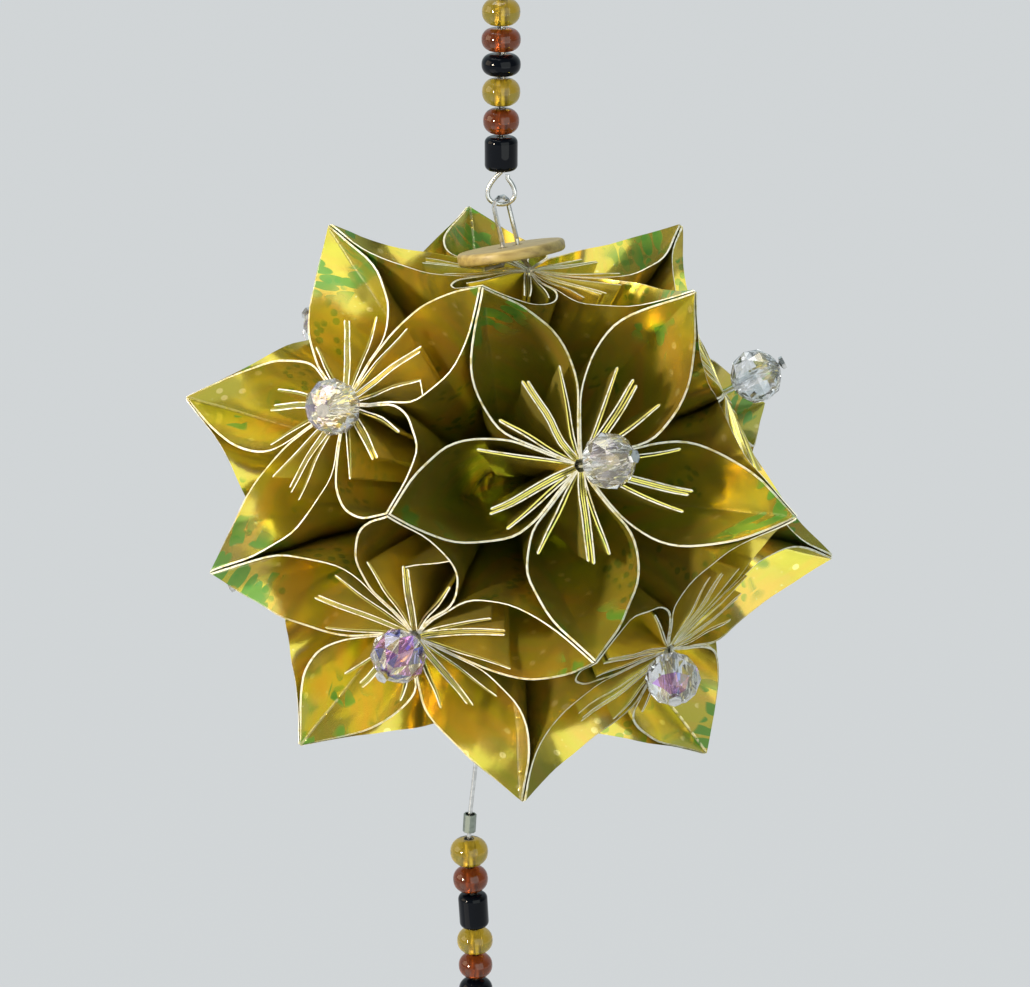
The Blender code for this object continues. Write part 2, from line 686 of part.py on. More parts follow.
def build():
    clear_scene()
    scene = bpy.context.scene
    ornament = bpy.data.collections.new("kusudama_ball")
    cutters = bpy.data.collections.new("cutters")
    scene.collection.children.link(ornament)
    scene.collection.children.link(cutters)

    foil = material("gold foil paper", (0.45, 0.34, 0.06), 0.35, metallic=0.8)
    glass = material("cut glass", (0.9, 0.93, 0.97), 0.05, transmission=0.9)
    steel = material("bright steel", (0.75, 0.75, 0.74), 0.25, metallic=1)
    wood = material("pale wood", (0.55, 0.44, 0.26), 0.5)
    crimp = material("dull plated metal", (0.30, 0.34, 0.30), 0.4, metallic=1)
    beads = {
        "yellow": material("yellow glass, silver lined", (0.62, 0.42, 0.03), 0.15),
        "amber": material("amber glass, silver lined", (0.38, 0.11, 0.01), 0.15),
        "black": material("black glass", (0.01, 0.012, 0.012), 0.12),
    }

    centre = bpy.data.objects.new("ball_centre", None)
    centre.location = (-STRING_SHIFT, 0, -HANG_HEIGHT)
    ball = bpy.data.objects.new("ball_lean", None)
    ball.parent = centre
    ball.rotation_euler = (0, LEAN, 0)
    for guide in (centre, ball):
        ornament.objects.link(guide)

    for name in AXES:
        add_flower(name, foil, ornament, ball)
        if name not in ("top", "bottom"):
            add_pin(name, steel, ornament, ball)
            add_crystal(name, glass, ornament, ball)

    button = add_button(wood, ornament, centre)
    drill_button(button, cutters)
    link = tube("link_and_core_wire", link_route(), WIRE, WIRE_SIDES_RESOLUTION)
    add_object("link_and_core_wire", link, steel, ornament, centre)

    upper = upper_route()
    upper_wire = tube("upper_wire", upper, WIRE, WIRE_SIDES_RESOLUTION)
    add_object("upper_wire", upper_wire, steel, ornament, centre)
    straight = upper[LOOP_STEPS + 1 : LOOP_STEPS + 3]
    end = add_beads("upper", UPPER_BEADS, straight, UPPER_BEADS_START, 1, beads, ornament, centre)
    add_crimp("upper_crimp", straight, end + CRIMP_LENGTH / 2, crimp, ornament, centre)

    lower = lower_route()
    lower_wire = tube("lower_wire", lower, WIRE, WIRE_SIDES_RESOLUTION)
    add_object("lower_wire", lower_wire, steel, ornament, centre)
    add_crimp("lower_crimp", lower, -LOWER_CRIMP_START - CRIMP_LENGTH / 2, crimp, ornament, centre)
    end = add_beads("lower", LOWER_BEADS, lower, -LOWER_BEADS_START, -1, beads, ornament, centre)
    add_crimp("lower_end_crimp", lower, end - (BEAD_GAP + CRIMP_LENGTH) / 2, crimp, ornament, centre)


build()
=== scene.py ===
"""The looks of a kusudama: a hanging ball of folded gold foil paper, with its beads, button and wires.

The paper is cut from one printed foil sheet for each petal. Every petal here has its real layers: an outer
wall, a lining, a glued middle fin of two folds and a folded pleat on each side of it. Foil shows on their
faces and the white core of the paper on their cut edges. Metres, +Z up, as in the part.
"""

import math
from itertools import pairwise

import bmesh
import bpy
from mathutils import Matrix, Vector, noise


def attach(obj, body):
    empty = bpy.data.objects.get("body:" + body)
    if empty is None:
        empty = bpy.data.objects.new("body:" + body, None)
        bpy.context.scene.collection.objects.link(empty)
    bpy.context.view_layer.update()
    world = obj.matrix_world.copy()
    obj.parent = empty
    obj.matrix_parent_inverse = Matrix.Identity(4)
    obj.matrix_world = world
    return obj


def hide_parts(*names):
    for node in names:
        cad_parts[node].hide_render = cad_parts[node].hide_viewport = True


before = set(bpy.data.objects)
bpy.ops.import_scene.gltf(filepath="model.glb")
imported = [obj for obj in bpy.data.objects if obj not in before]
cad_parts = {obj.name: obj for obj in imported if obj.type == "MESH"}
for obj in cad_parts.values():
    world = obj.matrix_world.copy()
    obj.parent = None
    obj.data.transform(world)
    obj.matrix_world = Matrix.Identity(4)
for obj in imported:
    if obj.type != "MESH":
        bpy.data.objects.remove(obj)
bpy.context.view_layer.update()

# The photograph's view
PHOTO_WIDTH = 1030
BALL_PIXEL_X, BALL_PIXEL_Y = 505.5, 488.0
PHOTO_MIDDLE_X, PHOTO_MIDDLE_Y = 515.0, 493.5
PIXELS_PER_METRE = 9534
CAMERA_DISTANCE = 0.376
CAMERA_HEIGHT_TURN = math.radians(17.1)
SENSOR_WIDTH = 36

# Ball, as in the part but for the gap between flowers
SEAM_LENGTH = 0.025
PACKED_END = 0.006
PETALS_PER_FLOWER = 5
PETAL_TURN = 2 * math.pi / PETALS_PER_FLOWER
HALF_PETAL_TURN = PETAL_TURN / 2
POINT_REACH = SEAM_LENGTH * math.sqrt(2)
WOBBLE_FADE = 0.006
CELL_FACE_ANGLE = math.atan((math.sqrt(5) - 1) / 2)
FLOWER_TILT = math.atan(1 / 2)
TOWARDS_FRONT = math.radians(-71.8)
SQUASH_SHARE = 0.94
LEAN = math.radians(6.1)
PULL_REACH = math.radians(44)
FLOWER_GAP = 0.0001  # the part leaves 0.0003, so that each flower is a solid of its own
GLUED_SHARE = 0.435
TIP_PAPER_ANGLE = math.radians(45)
FIN_REACH = SEAM_LENGTH * math.tan(TIP_PAPER_ANGLE / 2)
HANG_HEIGHT = 0.0574
STRING_SHIFT = -0.00044
BALL_CENTRE = Vector((-STRING_SHIFT, 0, -HANG_HEIGHT))

# Layers of paper in a petal
PAPER = 0.00010
FIN_PAPER = 0.00014
OUTER_LAYER_IN = 0.00001
LINING_IN = 0.000115
LINING_SLIP = 0.00005  # the lining's cut edge stands this far below the outer layer's
FLOOR_SHARES = (0.88, 0.90)  # how far down a petal its walls meet in a crumpled floor
WOBBLE = 0.00032  # how far hands bent the rims and fins, away from the ball's points
WOBBLE_SCALE = 230
WOBBLE_SEED = 1
ROOT = 0.0007  # where the layers start, beside the flower's axis
WAVE = 0.00022  # how far the foil is dented inwards
WAVES_ROUND, WAVES_DOWN, FINE_WAVES_DOWN, PHASE_DOWN = 9, 5, 21, 2.3  # how the dents ripple, in radians
FOLD_GAP = FIN_PAPER * 0.12  # half the least room between the two sides of a fold
MIDDLE_FIN = 1  # which of a petal's fins is the middle one, of two folds
MIDDLE_FOLD_ASIDE = 1.25 * FIN_PAPER
SHORTER_FOLD = 0.97  # the middle fin's second fold, to its first
GLUED_COLUMNS = 4
CURL_COLUMNS = 14
TIP_COLUMNS = 5
WALL_ROWS_SHARES = (0, 0.04, 0.1, 0.18, 0.28, 0.4, 0.55, 0.75, 1)
FIN_COLUMNS = 8
PLEAT_COLUMNS = 4
FIN_PLACE = 0.03  # fins take their foil from past the end of the sheet that the walls are printed from
FIN_ROWS_SHARES = (0, 0.1, 0.3, 0.6, 1)

# Strays of the photographed ball's points and flower middles from a true ball, as in the part
PULLS = {
    "front left top": (0.0014, 0, 0),
    "front right top": (-0.0011, 0, -0.0003),
    "front right lower_right": (0.0003, 0, 0),
    "front left lower_front": (-0.0013, 0, 0),
    "front lower_right lower_front": (-0.0013, 0, -0.0002),
    "left lower_left lower_front": (-0.0009, 0, 0.0005),
    "left back_left top": (0.0004, 0, -0.0003),
    "left back_left lower_left": (0.0006, 0, 0),
    "lower_front lower_left bottom": (-0.0012, 0, 0.0003),
    "lower_front lower_right bottom": (-0.0020, 0, -0.0003),
    "lower_right lower_back_right bottom": (0.0031, 0, -0.0009),
    "right lower_right lower_back_right": (0.0004, 0, 0.0022),
    "right back_right top": (-0.0014, 0, 0.0006),
    "back_right back_left top": (0, 0, -0.0014),
    "front": (-0.0007, 0, -0.0013),
    "left": (0.0009, 0, 0.0010),
    "right": (-0.0012, 0, 0.0029),
    "lower_front": (-0.0014, 0, 0.0010),
    "lower_right": (0, 0, -0.0013),
}

# Fins in each cut of petal: turn from the petal's middle in degrees, length as a share of the usual, and how
# far the fold gapes. The last number is the phase of the waves that dent the walls.
PETAL_CUTS = {
    "petal_a": (((28, 0.95, 0.00012), (2, 1.04, 0.00010), (-22, 1.00, 0.00014)), 0.3),
    "petal_b": (((11.5, 1.06, 0.00006), (-1, 1.02, 0.00022), (-19, 1.04, 0.00008)), 1.7),
    "petal_c": (((26, 1.00, 0.00014), (1.6, 1.10, 0.00008), (-9, 1.08, 0.00005)), 2.9),
    "petal_d": (((15.5, 0.96, 0.00010), (5, 1.04, 0.00016), (-25, 1.00, 0.00012)), 4.2),
    "petal_e": (((25.5, 0.98, 0.00010), (12, 1.03, 0.00012), (-23.6, 1.02, 0.00005)), 5.1),
    "petal_f": (((21, 1.02, 0.00008), (0, 0.98, 0.00014), (-20, 0.97, 0.00018)), 0.9),
    "petal_g": (((24, 1.00, 0.00010), (3, 1.02, 0.00010), (-19, 0.98, 0.00012)), 3.6),
    "petal_h": (((22, 1.06, 0.00012), (1, 1.00, 0.00012), (-26, 0.97, 0.00010)), 2.2),
}

# In these cuts one pleat was not pressed flat: its paper turns aside at its end and runs on to the wall.
# Which of the cut's three fins, the turn in degrees and the length.
OPEN_PLEATS = {
    "petal_g": (2, -66, 0.00200),
    "petal_h": (1, -60, 0.00580),
}

# The cut of each petal, by its letter, in turn round each flower from its first petal
FLOWER_CUTS = {
    "top": "fdbce",
    "bottom": "beafd",
    "front": "aedcb",
    "right": "ecabf",
    "back_right": "acebd",
    "back_left": "cfadb",
    "left": "cbfga",
    "lower_right": "dfbec",
    "lower_back_right": "eadfb",
    "lower_back": "bcdea",
    "lower_left": "fbeca",
    "lower_front": "hacfd",
}

# How strong the painted highlight along the fold to its tip is, petal by petal in the same order: pale colour
# painted on the crease for the light it catches
FOLD_HIGHLIGHTS = {
    "front": (0.1, 0, 0, 0.15, 0),
    "left": (0.3, 0.3, 1, 1, 0.3),
    "lower_front": (0.3, 0.3, 0.6, 0.6, 0.6),
}
FOLD_HIGHLIGHTS_UNSEEN = (0.8, 0.1, 0.5, 0.2, 0.6)

# Beads, wires and button, as in the part
CRYSTAL_WIDTH = 0.0058
CRYSTAL_LENGTH = 0.0052
CRYSTAL_PLACES = {
    "front": (0.0019, 0.0002, 0.0031),
    "left": (0.0024, -0.0010, 0.0031),
    "lower_front": (-0.0005, -0.0003, 0.0031),
    "lower_right": (-0.0030, -0.0004, 0.0031),
    "right": (0.0002, 0.0002, 0.0038),
}
CRYSTAL_PLACE_UNSEEN = (0, -0.0004, 0.0031)
# How strongly a crystal shows its coating's violet, painted as a reflection on the facets that look this way,
# within this cosine, and the share of those facets that stay clear
CRYSTAL_PAINTED_PEARLS = {
    "front": (0.15, (0, -1, 0), 0.6, 0.34),
    "left": (0.4, (-0.7, -0.6, 0.3), 0.6, 0.34),
    "lower_front": (1.0, (0.35, -0.80, 0.50), 0.25, 0.34),
    "lower_right": (1.0, (-0.05, -0.97, 0.20), 0.87, 0),
    "right": (0.0, (0, -1, 0), 0.9, 0.34),
}
CRYSTAL_PAINTED_PEARL_UNSEEN = (0.35, (0, 0, 1), 0.3, 0.34)
BORE = 0.0011
BUTTON_WIDTH = 0.0112
BUTTON_THICKNESS = 0.0012
BUTTON_EDGE = 0.0004
BUTTON_TILT = math.radians(-9)
BUTTON_LEAN_BACK = math.radians(-9)
BUTTON_SHIFT = 0.0021
BUTTON_LIFT = 0.0021
BUTTON_SIDES = 72
HOLE_SIDES = 24
LINK_HALF_WIDTH = 0.0010
LINK_TURN = math.radians(42)
WIRE = 0.0005
FIT = 0.0003
LOOP_STEPS = 30
BEAD_GAP = 0.0003
BEAD_SIDES = 32
SHOULDER_STEPS = 7
SHOULDER_SHARE = 0.46  # of a round bead's length is one of its shoulders
LONG_BEAD_SHOULDER = 0.0006
EYE_HALF_WIDTH = 0.0014
EYE_HEIGHT = 0.0034
EYE_OPENING = math.radians(54)
DROP_WIDEST = 4 / math.sqrt(27)
HANGING_LOOP_RADIUS = 0.0017
LOOP_TURNS = (math.radians(240), math.radians(-50))
CRIMP_LENGTH = 0.0020
UPPER_BEADS_START = 0.0338
LOWER_BEADS_START = 0.0395
UPPER_BEADS = (
    ("black_long", 0.0034, 0.0038),
    ("amber", 0.0037, 0.0029),
    ("yellow", 0.0039, 0.0031),
    ("black", 0.0040, 0.0025),
    ("amber", 0.0040, 0.0026),
    ("yellow", 0.0039, 0.0030),
)
LOWER_BEADS = (
    ("yellow", 0.0041, 0.0033),
    ("amber", 0.0038, 0.0031),
    ("black_long", 0.0032, 0.0042),
    ("yellow", 0.0039, 0.0030),
    ("amber", 0.0037, 0.0029),
    ("black", 0.0037, 0.0029),
)
ROUTE_STEPS = 6
LOWER_ROUTE = (
    (-0.00232, -0.0210),
    (-0.00258, -0.0240),
    (-0.00292, -0.0280),
    (-0.00334, -0.0323),
    (-0.00380, -0.0366),
    (-0.00394, -0.0402),
    (-0.00382, -0.0440),
    (-0.00348, -0.0480),
    (-0.00333, -0.0518),
    (-0.00326, -0.0560),
    (-0.00326, -0.0615),
)
LOOP_TOP = UPPER_BEADS_START + sum(length for _, _, length in UPPER_BEADS) + CRIMP_LENGTH + BEAD_GAP


# Materials

OLIVE_GOLD = (0.63, 0.530, 0.065, 1)
BROWN_GOLD = (0.71, 0.48, 0.075, 1)
SHADE_OLIVE = (0.50, 0.62, 0.03, 1)  # painted shade: a greener tint deep in the petals, towards the flower's middle, where shade falls
FIN_HIGHLIGHT_GOLD = (0.72, 0.69, 0.20, 1)  # the foil of the fins and pleats, painted paler: a painted highlight for the light that the standing folds catch
WORN_GOLD = (0.72, 0.66, 0.25, 1)
PALE_GOLD = (0.92, 0.78, 0.28, 1)
# painted highlight along the fold to a petal's tip
FOLD_HIGHLIGHT_COLOUR = (0.93, 0.84, 0.52, 1)
GLAZE_GREEN = (0.30, 0.42, 0.02, 1)
PRINT_GREEN = (0.08, 0.33, 0.04, 1)

# Where on the sheet something begins and where it is full, in metres: first two by the distance from the
# flower's middle, then two by the distance from the petal's tip, then one by the distance from its fold
SHADE_OLIVE_REACH = (0.030, 0.014)
FIN_FOIL_REACH = (0.036, 0.037)
PRINT_FROM_TIP = (0.0165, 0.0135)
GLAZE_FROM_TIP = (0.0145, 0.008)
FOLD_WIDTH = (0.00032, 0.00014)
PRINT_STRAY = 0.012  # how far the print's edge strays

# The print's upright strokes, leaning strokes, dots and pale flecks: their lean, how closely they lie each
# way, and their size as a share of the room between them
PRINT = (
    (0.5, (230, 640, 1), 0.40),
    (-0.6, (200, 700, 1), 0.36),
    (0, (700, 700, 1), 0.30),
    (0.3, (330, 420, 1), 0.14),
)
STROKE_CORE = 0.86  # the share of a stroke's size within which it is full
SHEETS_APART = (7.3, 3.1)  # how far apart on an endless print two sheets can be cut, each way

DENT_DEPTH = 0.00011  # heights on the foil, in metres
GRAIN_DEPTH = 0.0000035
FOLD_RISE = 0.00005  # how far the paper stands up along the fold that carries the painted highlight
FOLD_SLOPE = 0.11  # how steeply the foil leans to each side of its old creases

CORE_WHITE = (0.90, 0.89, 0.75, 1)
CORE_GOLD = (0.62, 0.55, 0.22, 1)
CLEAR_GLASS = (0.95, 0.96, 0.98, 1)
# colours of the painted reflection of the crystals' coating
PAINTED_PEARL_VIOLET = (0.58, 0.22, 0.95, 1)
PAINTED_PEARL_BLUE = (0.16, 0.20, 0.95, 1)
PALE_WOOD = (0.41, 0.32, 0.11, 1)
GRAIN_BROWN = (0.25, 0.18, 0.06, 1)

# Colour, roughness and how fine the marks are
METALS = {
    "silver wire": ((0.80, 0.80, 0.78, 1), 0.14, 1800),
    "silver lining of the beads": ((0.95, 0.93, 0.86, 1), 0.28, 1800),
    "dull plated crimp": ((0.30, 0.34, 0.29, 1), 0.3, 1500),
}
# Colour, how clear the glass is and how strongly it bends light
BEAD_GLASSES = {
    "yellow": ((0.60, 0.40, 0.035, 1), 1.0, 1.5),
    "amber": ((0.28, 0.055, 0.01, 1), 1.0, 1.5),
    "black": ((0.002, 0.003, 0.006, 1), 0.0, 1.27),
}


class Nodes:
    """Adds nodes to one tree. What goes into a node is either a value or another node's output."""

    def __init__(self, tree):
        self.tree = tree

    def feed(self, made, inputs):
        for key, value in inputs.items():
            if isinstance(value, bpy.types.NodeSocket):
                self.tree.links.new(value, made.inputs[key])
            else:
                made.inputs[key].default_value = value

    def add(self, kind, inputs=None, **settings):
        made = self.tree.nodes.new(kind)
        for key, value in settings.items():
            setattr(made, key, value)
        self.feed(made, inputs or {})
        return made

    def maths(self, operation, *values, clamp=False):
        inputs = dict(enumerate(values))
        return self.add("ShaderNodeMath", inputs, operation=operation, use_clamp=clamp).outputs[0]

    def plus(self, first, second):
        return self.maths("ADD", first, second)

    def minus(self, first, second):
        return self.maths("SUBTRACT", first, second)

    def times(self, first, second):
        return self.maths("MULTIPLY", first, second)

    def vectors(self, operation, *values):
        return self.add("ShaderNodeVectorMath", dict(enumerate(values)), operation=operation).outputs

    def mixed(self, share, low, high):
        return self.add("ShaderNodeMix", {0: share, 6: low, 7: high}, data_type="RGBA").outputs[2]

    def ramp(self, value, low, high):
        """A share that rises smoothly from 0 at the low value to 1 at the high one."""
        inputs = {"Value": value, "From Min": low, "From Max": high}
        return self.add("ShaderNodeMapRange", inputs, interpolation_type="SMOOTHSTEP").outputs["Result"]

    def attribute(self, name):
        return self.add("ShaderNodeAttribute", attribute_name=name).outputs["Fac"]

    def on_object(self):
        return self.add("ShaderNodeTexCoord").outputs["Object"]

    def stretched(self, place, scale, turn=0):
        inputs = {"Vector": place, "Rotation": (0, 0, turn), "Scale": scale}
        return self.add("ShaderNodeMapping", inputs).outputs[0]

    def noise(self, place, scale, detail, roughness=0.5):
        inputs = {"Vector": place, "Scale": scale, "Detail": detail, "Roughness": roughness}
        return self.add("ShaderNodeTexNoise", inputs).outputs["Fac"]

    def bump(self, shader, height, strength, distance):
        made = self.add("ShaderNodeBump", {"Height": height, "Strength": strength, "Distance": distance})
        self.feed(shader, {"Normal": made.outputs["Normal"]})


def new_material(name):
    made = bpy.data.materials.new(name)
    made.use_nodes = True
    return made, Nodes(made.node_tree), made.node_tree.nodes["Principled BSDF"]


def darker(colour, share):
    return (*(part * share for part in colour[:3]), 1)


def printed_strokes(nodes, place, turn, scale, size):
    """Where short brush strokes of the print lie: ovals of one direction, scattered over the sheet."""
    inputs = {"Vector": nodes.stretched(place, scale, turn), "Scale": 1}
    cells = nodes.add("ShaderNodeTexVoronoi", inputs, voronoi_dimensions="2D")
    return nodes.ramp(cells.outputs["Distance"], size, size * STROKE_CORE)


def foil_material():
    """Gold foil on paper, creased and a little cloudy, with a green print of a few loose strokes and dots,
    painted shade deep in the petals and painted highlights on the fins and along the tip folds.
    """
    made, nodes, shader = new_material("gold foil paper")
    plus, minus, times, ramp = nodes.plus, nodes.minus, nodes.times, nodes.ramp
    sheet = nodes.add("ShaderNodeUVMap", uv_map="sheet").outputs["UV"]
    number = nodes.attribute("sheet_number")
    moves = {axis: times(number, apart) for axis, apart in enumerate(SHEETS_APART)}
    moved = nodes.add("ShaderNodeCombineXYZ", moves).outputs[0]
    place = nodes.vectors("ADD", sheet, moved)["Vector"]
    streaks = nodes.noise(nodes.stretched(place, (60, 330, 1), 0.9), scale=1, detail=4, roughness=0.6)
    patches = nodes.noise(place, scale=110, detail=2)
    specks = nodes.noise(place, scale=1900, detail=2)
    dents = nodes.noise(place, scale=260, detail=1)

    reach = nodes.vectors("LENGTH", sheet)["Value"]
    from_corner = nodes.vectors("DISTANCE", sheet, (SEAM_LENGTH, SEAM_LENGTH, 0))["Value"]
    from_tip = plus(from_corner, times(patches, PRINT_STRAY))
    upright, leaning, dots, flecks = (printed_strokes(nodes, place, *strokes) for strokes in PRINT)
    strokes = times(nodes.maths("MAXIMUM", upright, leaning), ramp(patches, 0.50, 0.53))
    green = times(strokes, ramp(from_tip, *PRINT_FROM_TIP))
    across, along = nodes.add("ShaderNodeSeparateXYZ", {0: sheet}).outputs[:2]
    # painted highlight along the fold to the tip, broken up by the specks
    fold_highlight_share = times(ramp(specks, 0.32, 0.50), nodes.attribute("fold_highlight"))
    fold = times(ramp(nodes.maths("ABSOLUTE", minus(across, along)), *FOLD_WIDTH), fold_highlight_share)
    layers = (
        # painted shade: greener deep in the petals, where shade falls
        (times(ramp(reach, *SHADE_OLIVE_REACH), 0.8), SHADE_OLIVE),
        (ramp(streaks, 0.41, 0.65), BROWN_GOLD),
        (ramp(specks, 0.66, 0.74), WORN_GOLD),
        (times(ramp(from_tip, *GLAZE_FROM_TIP), 0.25), GLAZE_GREEN),
        (times(times(dots, ramp(patches, 0.56, 0.60)), 0.5), PRINT_GREEN),
        (times(green, 0.84), PRINT_GREEN),
        (times(times(flecks, ramp(patches, 0.46, 0.43)), 0.7), PALE_GOLD),
        # painted highlight: paler foil on the fins and pleats
        (times(ramp(reach, *FIN_FOIL_REACH), 0.45), FIN_HIGHLIGHT_GOLD),
        # painted highlight along the tip fold
        (fold, FOLD_HIGHLIGHT_COLOUR),
    )
    colour = OLIVE_GOLD
    for share, over in layers:
        colour = nodes.mixed(share, colour, over)
    nodes.feed(shader, {
        "Base Color": colour,
        "Metallic": minus(0.82, times(green, 0.3)),
        "Roughness": plus(0.10, times(streaks, 0.15)),
        "Coat Weight": 0.6,
        "Coat Roughness": 0.16,
    })

    off_fold = nodes.maths("ABSOLUTE", minus(nodes.maths("ARCTAN2", along, across), TIP_PAPER_ANGLE))
    off_crease = nodes.maths("ABSOLUTE", minus(off_fold, TIP_PAPER_ANGLE / 2))
    ridge = times(times(off_crease, reach), FOLD_SLOPE)
    raised = plus(times(specks, GRAIN_DEPTH), times(fold, FOLD_RISE))
    nodes.bump(shader, plus(times(dents, DENT_DEPTH), minus(raised, ridge)), strength=1, distance=1)
    return made


def core_material():
    """The white core of the paper, seen only at its cut edges, with gold rubbed on it here and there."""
    made, nodes, shader = new_material("white paper core")
    fibres = nodes.noise(nodes.on_object(), scale=1400, detail=3)
    colour = nodes.mixed(nodes.ramp(fibres, 0.48, 0.70), CORE_WHITE, CORE_GOLD)
    nodes.feed(shader, {"Base Color": colour, "Roughness": 0.75})
    nodes.bump(shader, fibres, strength=0.3, distance=0.00005)
    return made


def crystal_material():
    """Clear cut glass with a pearly coating, and the coating's violet and blue painted as a reflection on
    some facets of some beads.
    """
    made, nodes, shader = new_material("cut glass")
    painted_pearl = nodes.attribute("painted_pearl")
    deep = nodes.times(nodes.ramp(nodes.attribute("facet_tint"), 0.76, 0.80), painted_pearl)
    nodes.feed(shader, {
        "Base Color": nodes.mixed(deep, nodes.mixed(painted_pearl, CLEAR_GLASS, PAINTED_PEARL_VIOLET), PAINTED_PEARL_BLUE),
        "Roughness": nodes.times(nodes.noise(nodes.on_object(), scale=900, detail=1), 0.04),
        "Transmission Weight": 0.92,
        "IOR": 1.56,
        "Coat Weight": 0.5,
        "Coat IOR": 1.9,
        "Thin Film Thickness": 300,
        "Thin Film IOR": 1.62,
    })
    return made


def bead_glass(name, colour, clearness, bend):
    """Bead glass, a little uneven in depth from place to place."""
    made, nodes, shader = new_material(name)
    depth = nodes.noise(nodes.on_object(), scale=700, detail=1)
    nodes.feed(shader, {
        "Base Color": nodes.mixed(depth, darker(colour, 0.7), colour),
        "Roughness": nodes.times(depth, 0.08),
        "Transmission Weight": clearness,
        "IOR": bend,
    })
    return made


def metal_material(name, colour, roughness, fineness):
    """Drawn wire or plated tube, with fine marks."""
    made, nodes, shader = new_material(name)
    marks = nodes.noise(nodes.on_object(), scale=fineness, detail=2)
    nodes.feed(shader, {
        "Base Color": nodes.mixed(nodes.ramp(marks, 0.4, 0.7), colour, darker(colour, 0.72)),
        "Roughness": nodes.plus(roughness, nodes.times(marks, 0.15)),
        "Metallic": 1,
    })
    nodes.bump(shader, marks, strength=0.2, distance=0.00003)
    return made


def wood_material():
    """Pale turned wood, browner along its fine grain."""
    made, nodes, shader = new_material("pale wood")
    grain = nodes.noise(nodes.stretched(nodes.on_object(), (1, 5, 5)), scale=320, detail=4, roughness=0.6)
    colour = nodes.mixed(nodes.ramp(grain, 0.35, 0.7), PALE_WOOD, GRAIN_BROWN)
    nodes.feed(shader, {"Base Color": colour, "Roughness": 0.42})
    nodes.bump(shader, grain, strength=0.35, distance=0.00006)
    return made


# Ball: places of the flowers, as in the part

def flower_directions():
    axes = {"top": Vector((0, 0, 1)), "bottom": Vector((0, 0, -1))}
    rings = (
        (("front", "right", "back_right", "back_left", "left"), 0, FLOWER_TILT),
        (("lower_right", "lower_back_right", "lower_back", "lower_left", "lower_front"), 1, -FLOWER_TILT),
    )
    for names, offset, tilt in rings:
        for index, name in enumerate(names):
            heading = TOWARDS_FRONT + PETAL_TURN * index + HALF_PETAL_TURN * offset
            level = math.cos(tilt)
            axes[name] = Vector((level * math.cos(heading), level * math.sin(heading), math.sin(tilt)))
    return axes


AXES = flower_directions()
NEIGHBOUR_COSINE = AXES["top"].dot(AXES["front"])
LEANING = Matrix.Rotation(LEAN, 3, "Y")


def signed_turn(axis, across, direction):
    return math.atan2(direction.dot(axis.cross(across)), direction.dot(across))


def neighbours(name):
    axis = AXES[name]
    near = [other for other in AXES if other != name and AXES[other].dot(axis) > NEIGHBOUR_COSINE / 2]
    across = axis.orthogonal()
    return sorted(near, key=lambda other: signed_turn(axis, across, AXES[other]))


def middle_of(names):
    return sum((AXES[name] for name in names), Vector()).normalized()


PULL_PLACES = [(middle_of(names.split()), Vector(pull)) for names, pull in PULLS.items()]


def handled(point):
    """A place of the true ball, moved as the wire's pull and the maker's handling moved it."""
    moved = Vector((point.x, point.y, point.z * SQUASH_SHARE))
    if point.length == 0:
        return moved
    for middle, pull in PULL_PLACES:
        away = point.angle(middle)
        if away < PULL_REACH:
            fade = (1 + math.cos(math.pi * away / PULL_REACH)) / 2
            moved += pull * fade * point.length / POINT_REACH
    return moved


def in_the_part(point):
    """From the ball's own frame to the part's."""
    return LEANING @ point + BALL_CENTRE


def wobbled(point):
    """A place of the true ball, bent a little by the hands that folded it, but not at the ball's points."""
    share = min(1, max(0, (POINT_REACH - point.length) / WOBBLE_FADE))
    return point + noise.noise_vector(point * WOBBLE_SCALE) * WOBBLE * share


def flower_placement(name):
    axis = AXES[name]
    first, second = neighbours(name)[:2]
    petal = middle_of((name, first, second))
    across = (petal - axis * petal.dot(axis)).normalized()
    return Matrix((across, axis.cross(across), axis)).transposed()


# Petals

def on_ray(angle, along, beside=0):
    ray = Vector((math.cos(angle), math.sin(angle)))
    return ray * along + Vector((-ray.y, ray.x)) * beside


CELL = SEAM_LENGTH * math.tan(CELL_FACE_ANGLE) - FLOWER_GAP / 2 / math.cos(CELL_FACE_ANGLE)
GLUED = CELL * GLUED_SHARE
CURL_RADIUS = CELL - GLUED
CURL_MIDDLE = on_ray(HALF_PETAL_TURN, GLUED, -CURL_RADIUS)


def wall_side(inset):
    """Half of a petal's wall in section, from its root on the flower's axis to its tip."""
    glued = [ROOT + (GLUED - ROOT) * step / GLUED_COLUMNS for step in range(GLUED_COLUMNS)]
    points = [on_ray(HALF_PETAL_TURN, along, -inset) for along in glued]
    for step in range(CURL_COLUMNS + 1):
        heading = HALF_PETAL_TURN - step * math.pi / 2 / CURL_COLUMNS
        points.append(CURL_MIDDLE + (CURL_RADIUS - inset) * Vector((-math.sin(heading), math.cos(heading))))
    tip = Vector(((CELL - inset) / math.cos(HALF_PETAL_TURN), 0))
    start = points[-1]
    points += [start.lerp(tip, step / TIP_COLUMNS) for step in range(1, TIP_COLUMNS + 1)]
    return points


def both_sides(points):
    """The whole wall: one side up to the tip, then back along the other."""
    return points + [Vector((p.x, -p.y)) for p in points[-2::-1]]


def paper_angles():
    """The angle of flat paper from the seam, for each column of a whole wall: 45 degrees at the tip."""
    rays = [Vector((0, 0, SEAM_LENGTH))] + [Vector((p.x, p.y, SEAM_LENGTH)) for p in wall_side(0)]
    run = [0.0]
    for before, after in pairwise(rays):
        run.append(run[-1] + before.angle(after))
    rise = [angle * TIP_PAPER_ANGLE / run[-1] for angle in run[1:]]
    return rise + [2 * TIP_PAPER_ANGLE - angle for angle in rise[-2::-1]]


PAPER_ANGLES = paper_angles()


